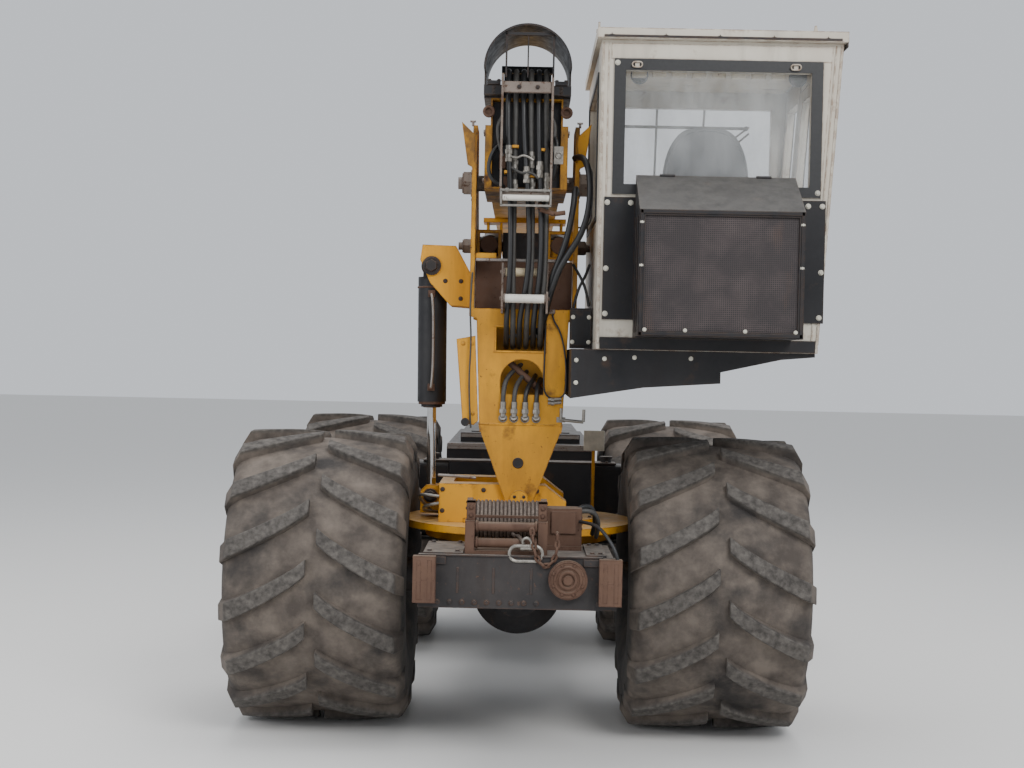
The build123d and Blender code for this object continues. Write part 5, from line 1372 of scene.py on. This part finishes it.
mid_front = boom_front + 0.25
shape = bmesh.new()
for side in (-1, 1):
    bolts(shape, side * 0.15, [mid_front - 0.06, mid_front - 0.13], [3.16, 3.3, 3.44], (side, 0, 0), 0.009)
    bolts(shape, [-0.09, 0.0, 0.09], mid_front - 0.06, boom_z + side * 0.2, (0, 0, side), 0.009)
finish_piece("mid_boom_bolts", shape, "boom_middle", steel, 0.001)
tip_front = mid_front + 1.05
shape = bmesh.new()
bolts(shape, [-0.075, 0.075], tip_front + 0.016, [3.19, 3.41], to_front)
ring(shape, (0, tip_front + 0.03, boom_z), to_front, 0.105, 0.007, 56, 8)
finish_piece("tip_bolts", shape, "boom_tip", steel, 0.001)

# Saw: teeth round the blade, its clamp plate, motor ribs and the bolts of its cover
saw_y = tip_front + 0.74
blade_x = -0.04
teeth = 48
tooth = ((0.297, -0.05), (0.3175, 0.03), (0.309, 0.045), (0.297, 0.05))
shape = bmesh.new()
for count in range(teeth):
    turn = 2 * math.pi * count / teeth
    outline = []
    for radius, lead in tooth:
        y, z = saw_y + radius * math.cos(turn + lead), boom_z + radius * math.sin(turn + lead)
        outline.append((blade_x + 0.0055, y, z))
    sheet_metal(shape, outline, (-0.005, 0, 0))
bar(shape, (blade_x - 0.0065, blade_x - 0.02), saw_y, boom_z, 0.075, 40, 0.07)
bolt_circle(shape, (blade_x - 0.02, saw_y, boom_z), (-1, 0, 0), 0.052, 6, 0.008)
for count in range(5):
    turn = 2 * math.pi * count / 5
    y, z = saw_y + 0.2 * math.cos(turn), boom_z + 0.2 * math.sin(turn)
    bar(shape, (blade_x - 0.0075, blade_x - 0.0062), y, z, 0.02, 24)
finish_piece("saw_teeth", shape, "blade", steel, 0)
shape = bmesh.new()
for count in range(5):
    ring(shape, (0.115 + count * 0.026, saw_y, boom_z), to_side, 0.06, 0.006, 40, 6)
bolt_circle(shape, (0.25, saw_y, boom_z), to_side, 0.042, 6, 0.008, 30)
bar(shape, 0.2, (saw_y - 0.055, saw_y - 0.085), [3.255, 3.345], 0.014, 6)
bolts(shape, 0.07, [saw_y - 0.28, saw_y - 0.16], [3.27, 3.33], to_side, 0.011)
finish_piece("saw_motor_fittings", shape, "saw", frame_grey, 0.001)

# Floor, light and camera
floor_mesh = bpy.data.meshes.new("floor")
floor_shape = bmesh.new()
bmesh.ops.create_grid(floor_shape, x_segments=1, y_segments=1, size=60)
floor_shape.to_mesh(floor_mesh)
floor = bpy.data.objects.new("floor", floor_mesh)
bpy.context.collection.objects.link(floor)
floor_material, _, floor_shader, _ = new_material("pale_floor")
floor_shader.inputs["Base Color"].default_value = (0.7, 0.69, 0.67, 1)
floor_shader.inputs["Roughness"].default_value = 0.9
dress(floor, floor_material)

world = bpy.data.worlds.new("studio")
world.use_nodes = True
world.node_tree.nodes["Background"].inputs["Color"].default_value = (0.86, 0.9, 0.96, 1)
world.node_tree.nodes["Background"].inputs["Strength"].default_value = 0.85
bpy.context.scene.world = world

# Lights: name, place, point they face, size, power
lights = [
    ("key", (4.5, -12.5, 9.0), (0, -3.8, 1.8), 5.0, 900),
    ("fill", (-8.0, -10.0, 5.0), (0, -3.8, 1.5), 6.0, 350),
    ("top", (0.0, -2.0, 11.0), (0, -2.0, 0), 8.0, 700),
]
for name, place, target, size, power in lights:
    data = bpy.data.lights.new(name, "AREA")
    data.energy = power
    data.size = size
    lamp = bpy.data.objects.new(name, data)
    bpy.context.collection.objects.link(lamp)
    lamp.location = place
    lamp.rotation_euler = (Vector(target) - Vector(place)).to_track_quat("-Z", "Y").to_euler()

camera_data = bpy.data.cameras.new("photo_camera")
camera_data.lens = lens_mm
camera_data.sensor_width = 36.0
camera_data.clip_end = 200
camera = bpy.data.objects.new("photo_camera", camera_data)
bpy.context.collection.objects.link(camera)
aim = Matrix.Rotation(yaw_left, 4, "Z") @ Matrix.Rotation(math.radians(90) - pitch_down, 4, "X")
camera.matrix_world = (
    Matrix.Translation((0, rear_axle_y - camera_back, camera_height)) @ aim @ Matrix.Rotation(roll, 4, "Z")
)
bpy.context.scene.camera = camera
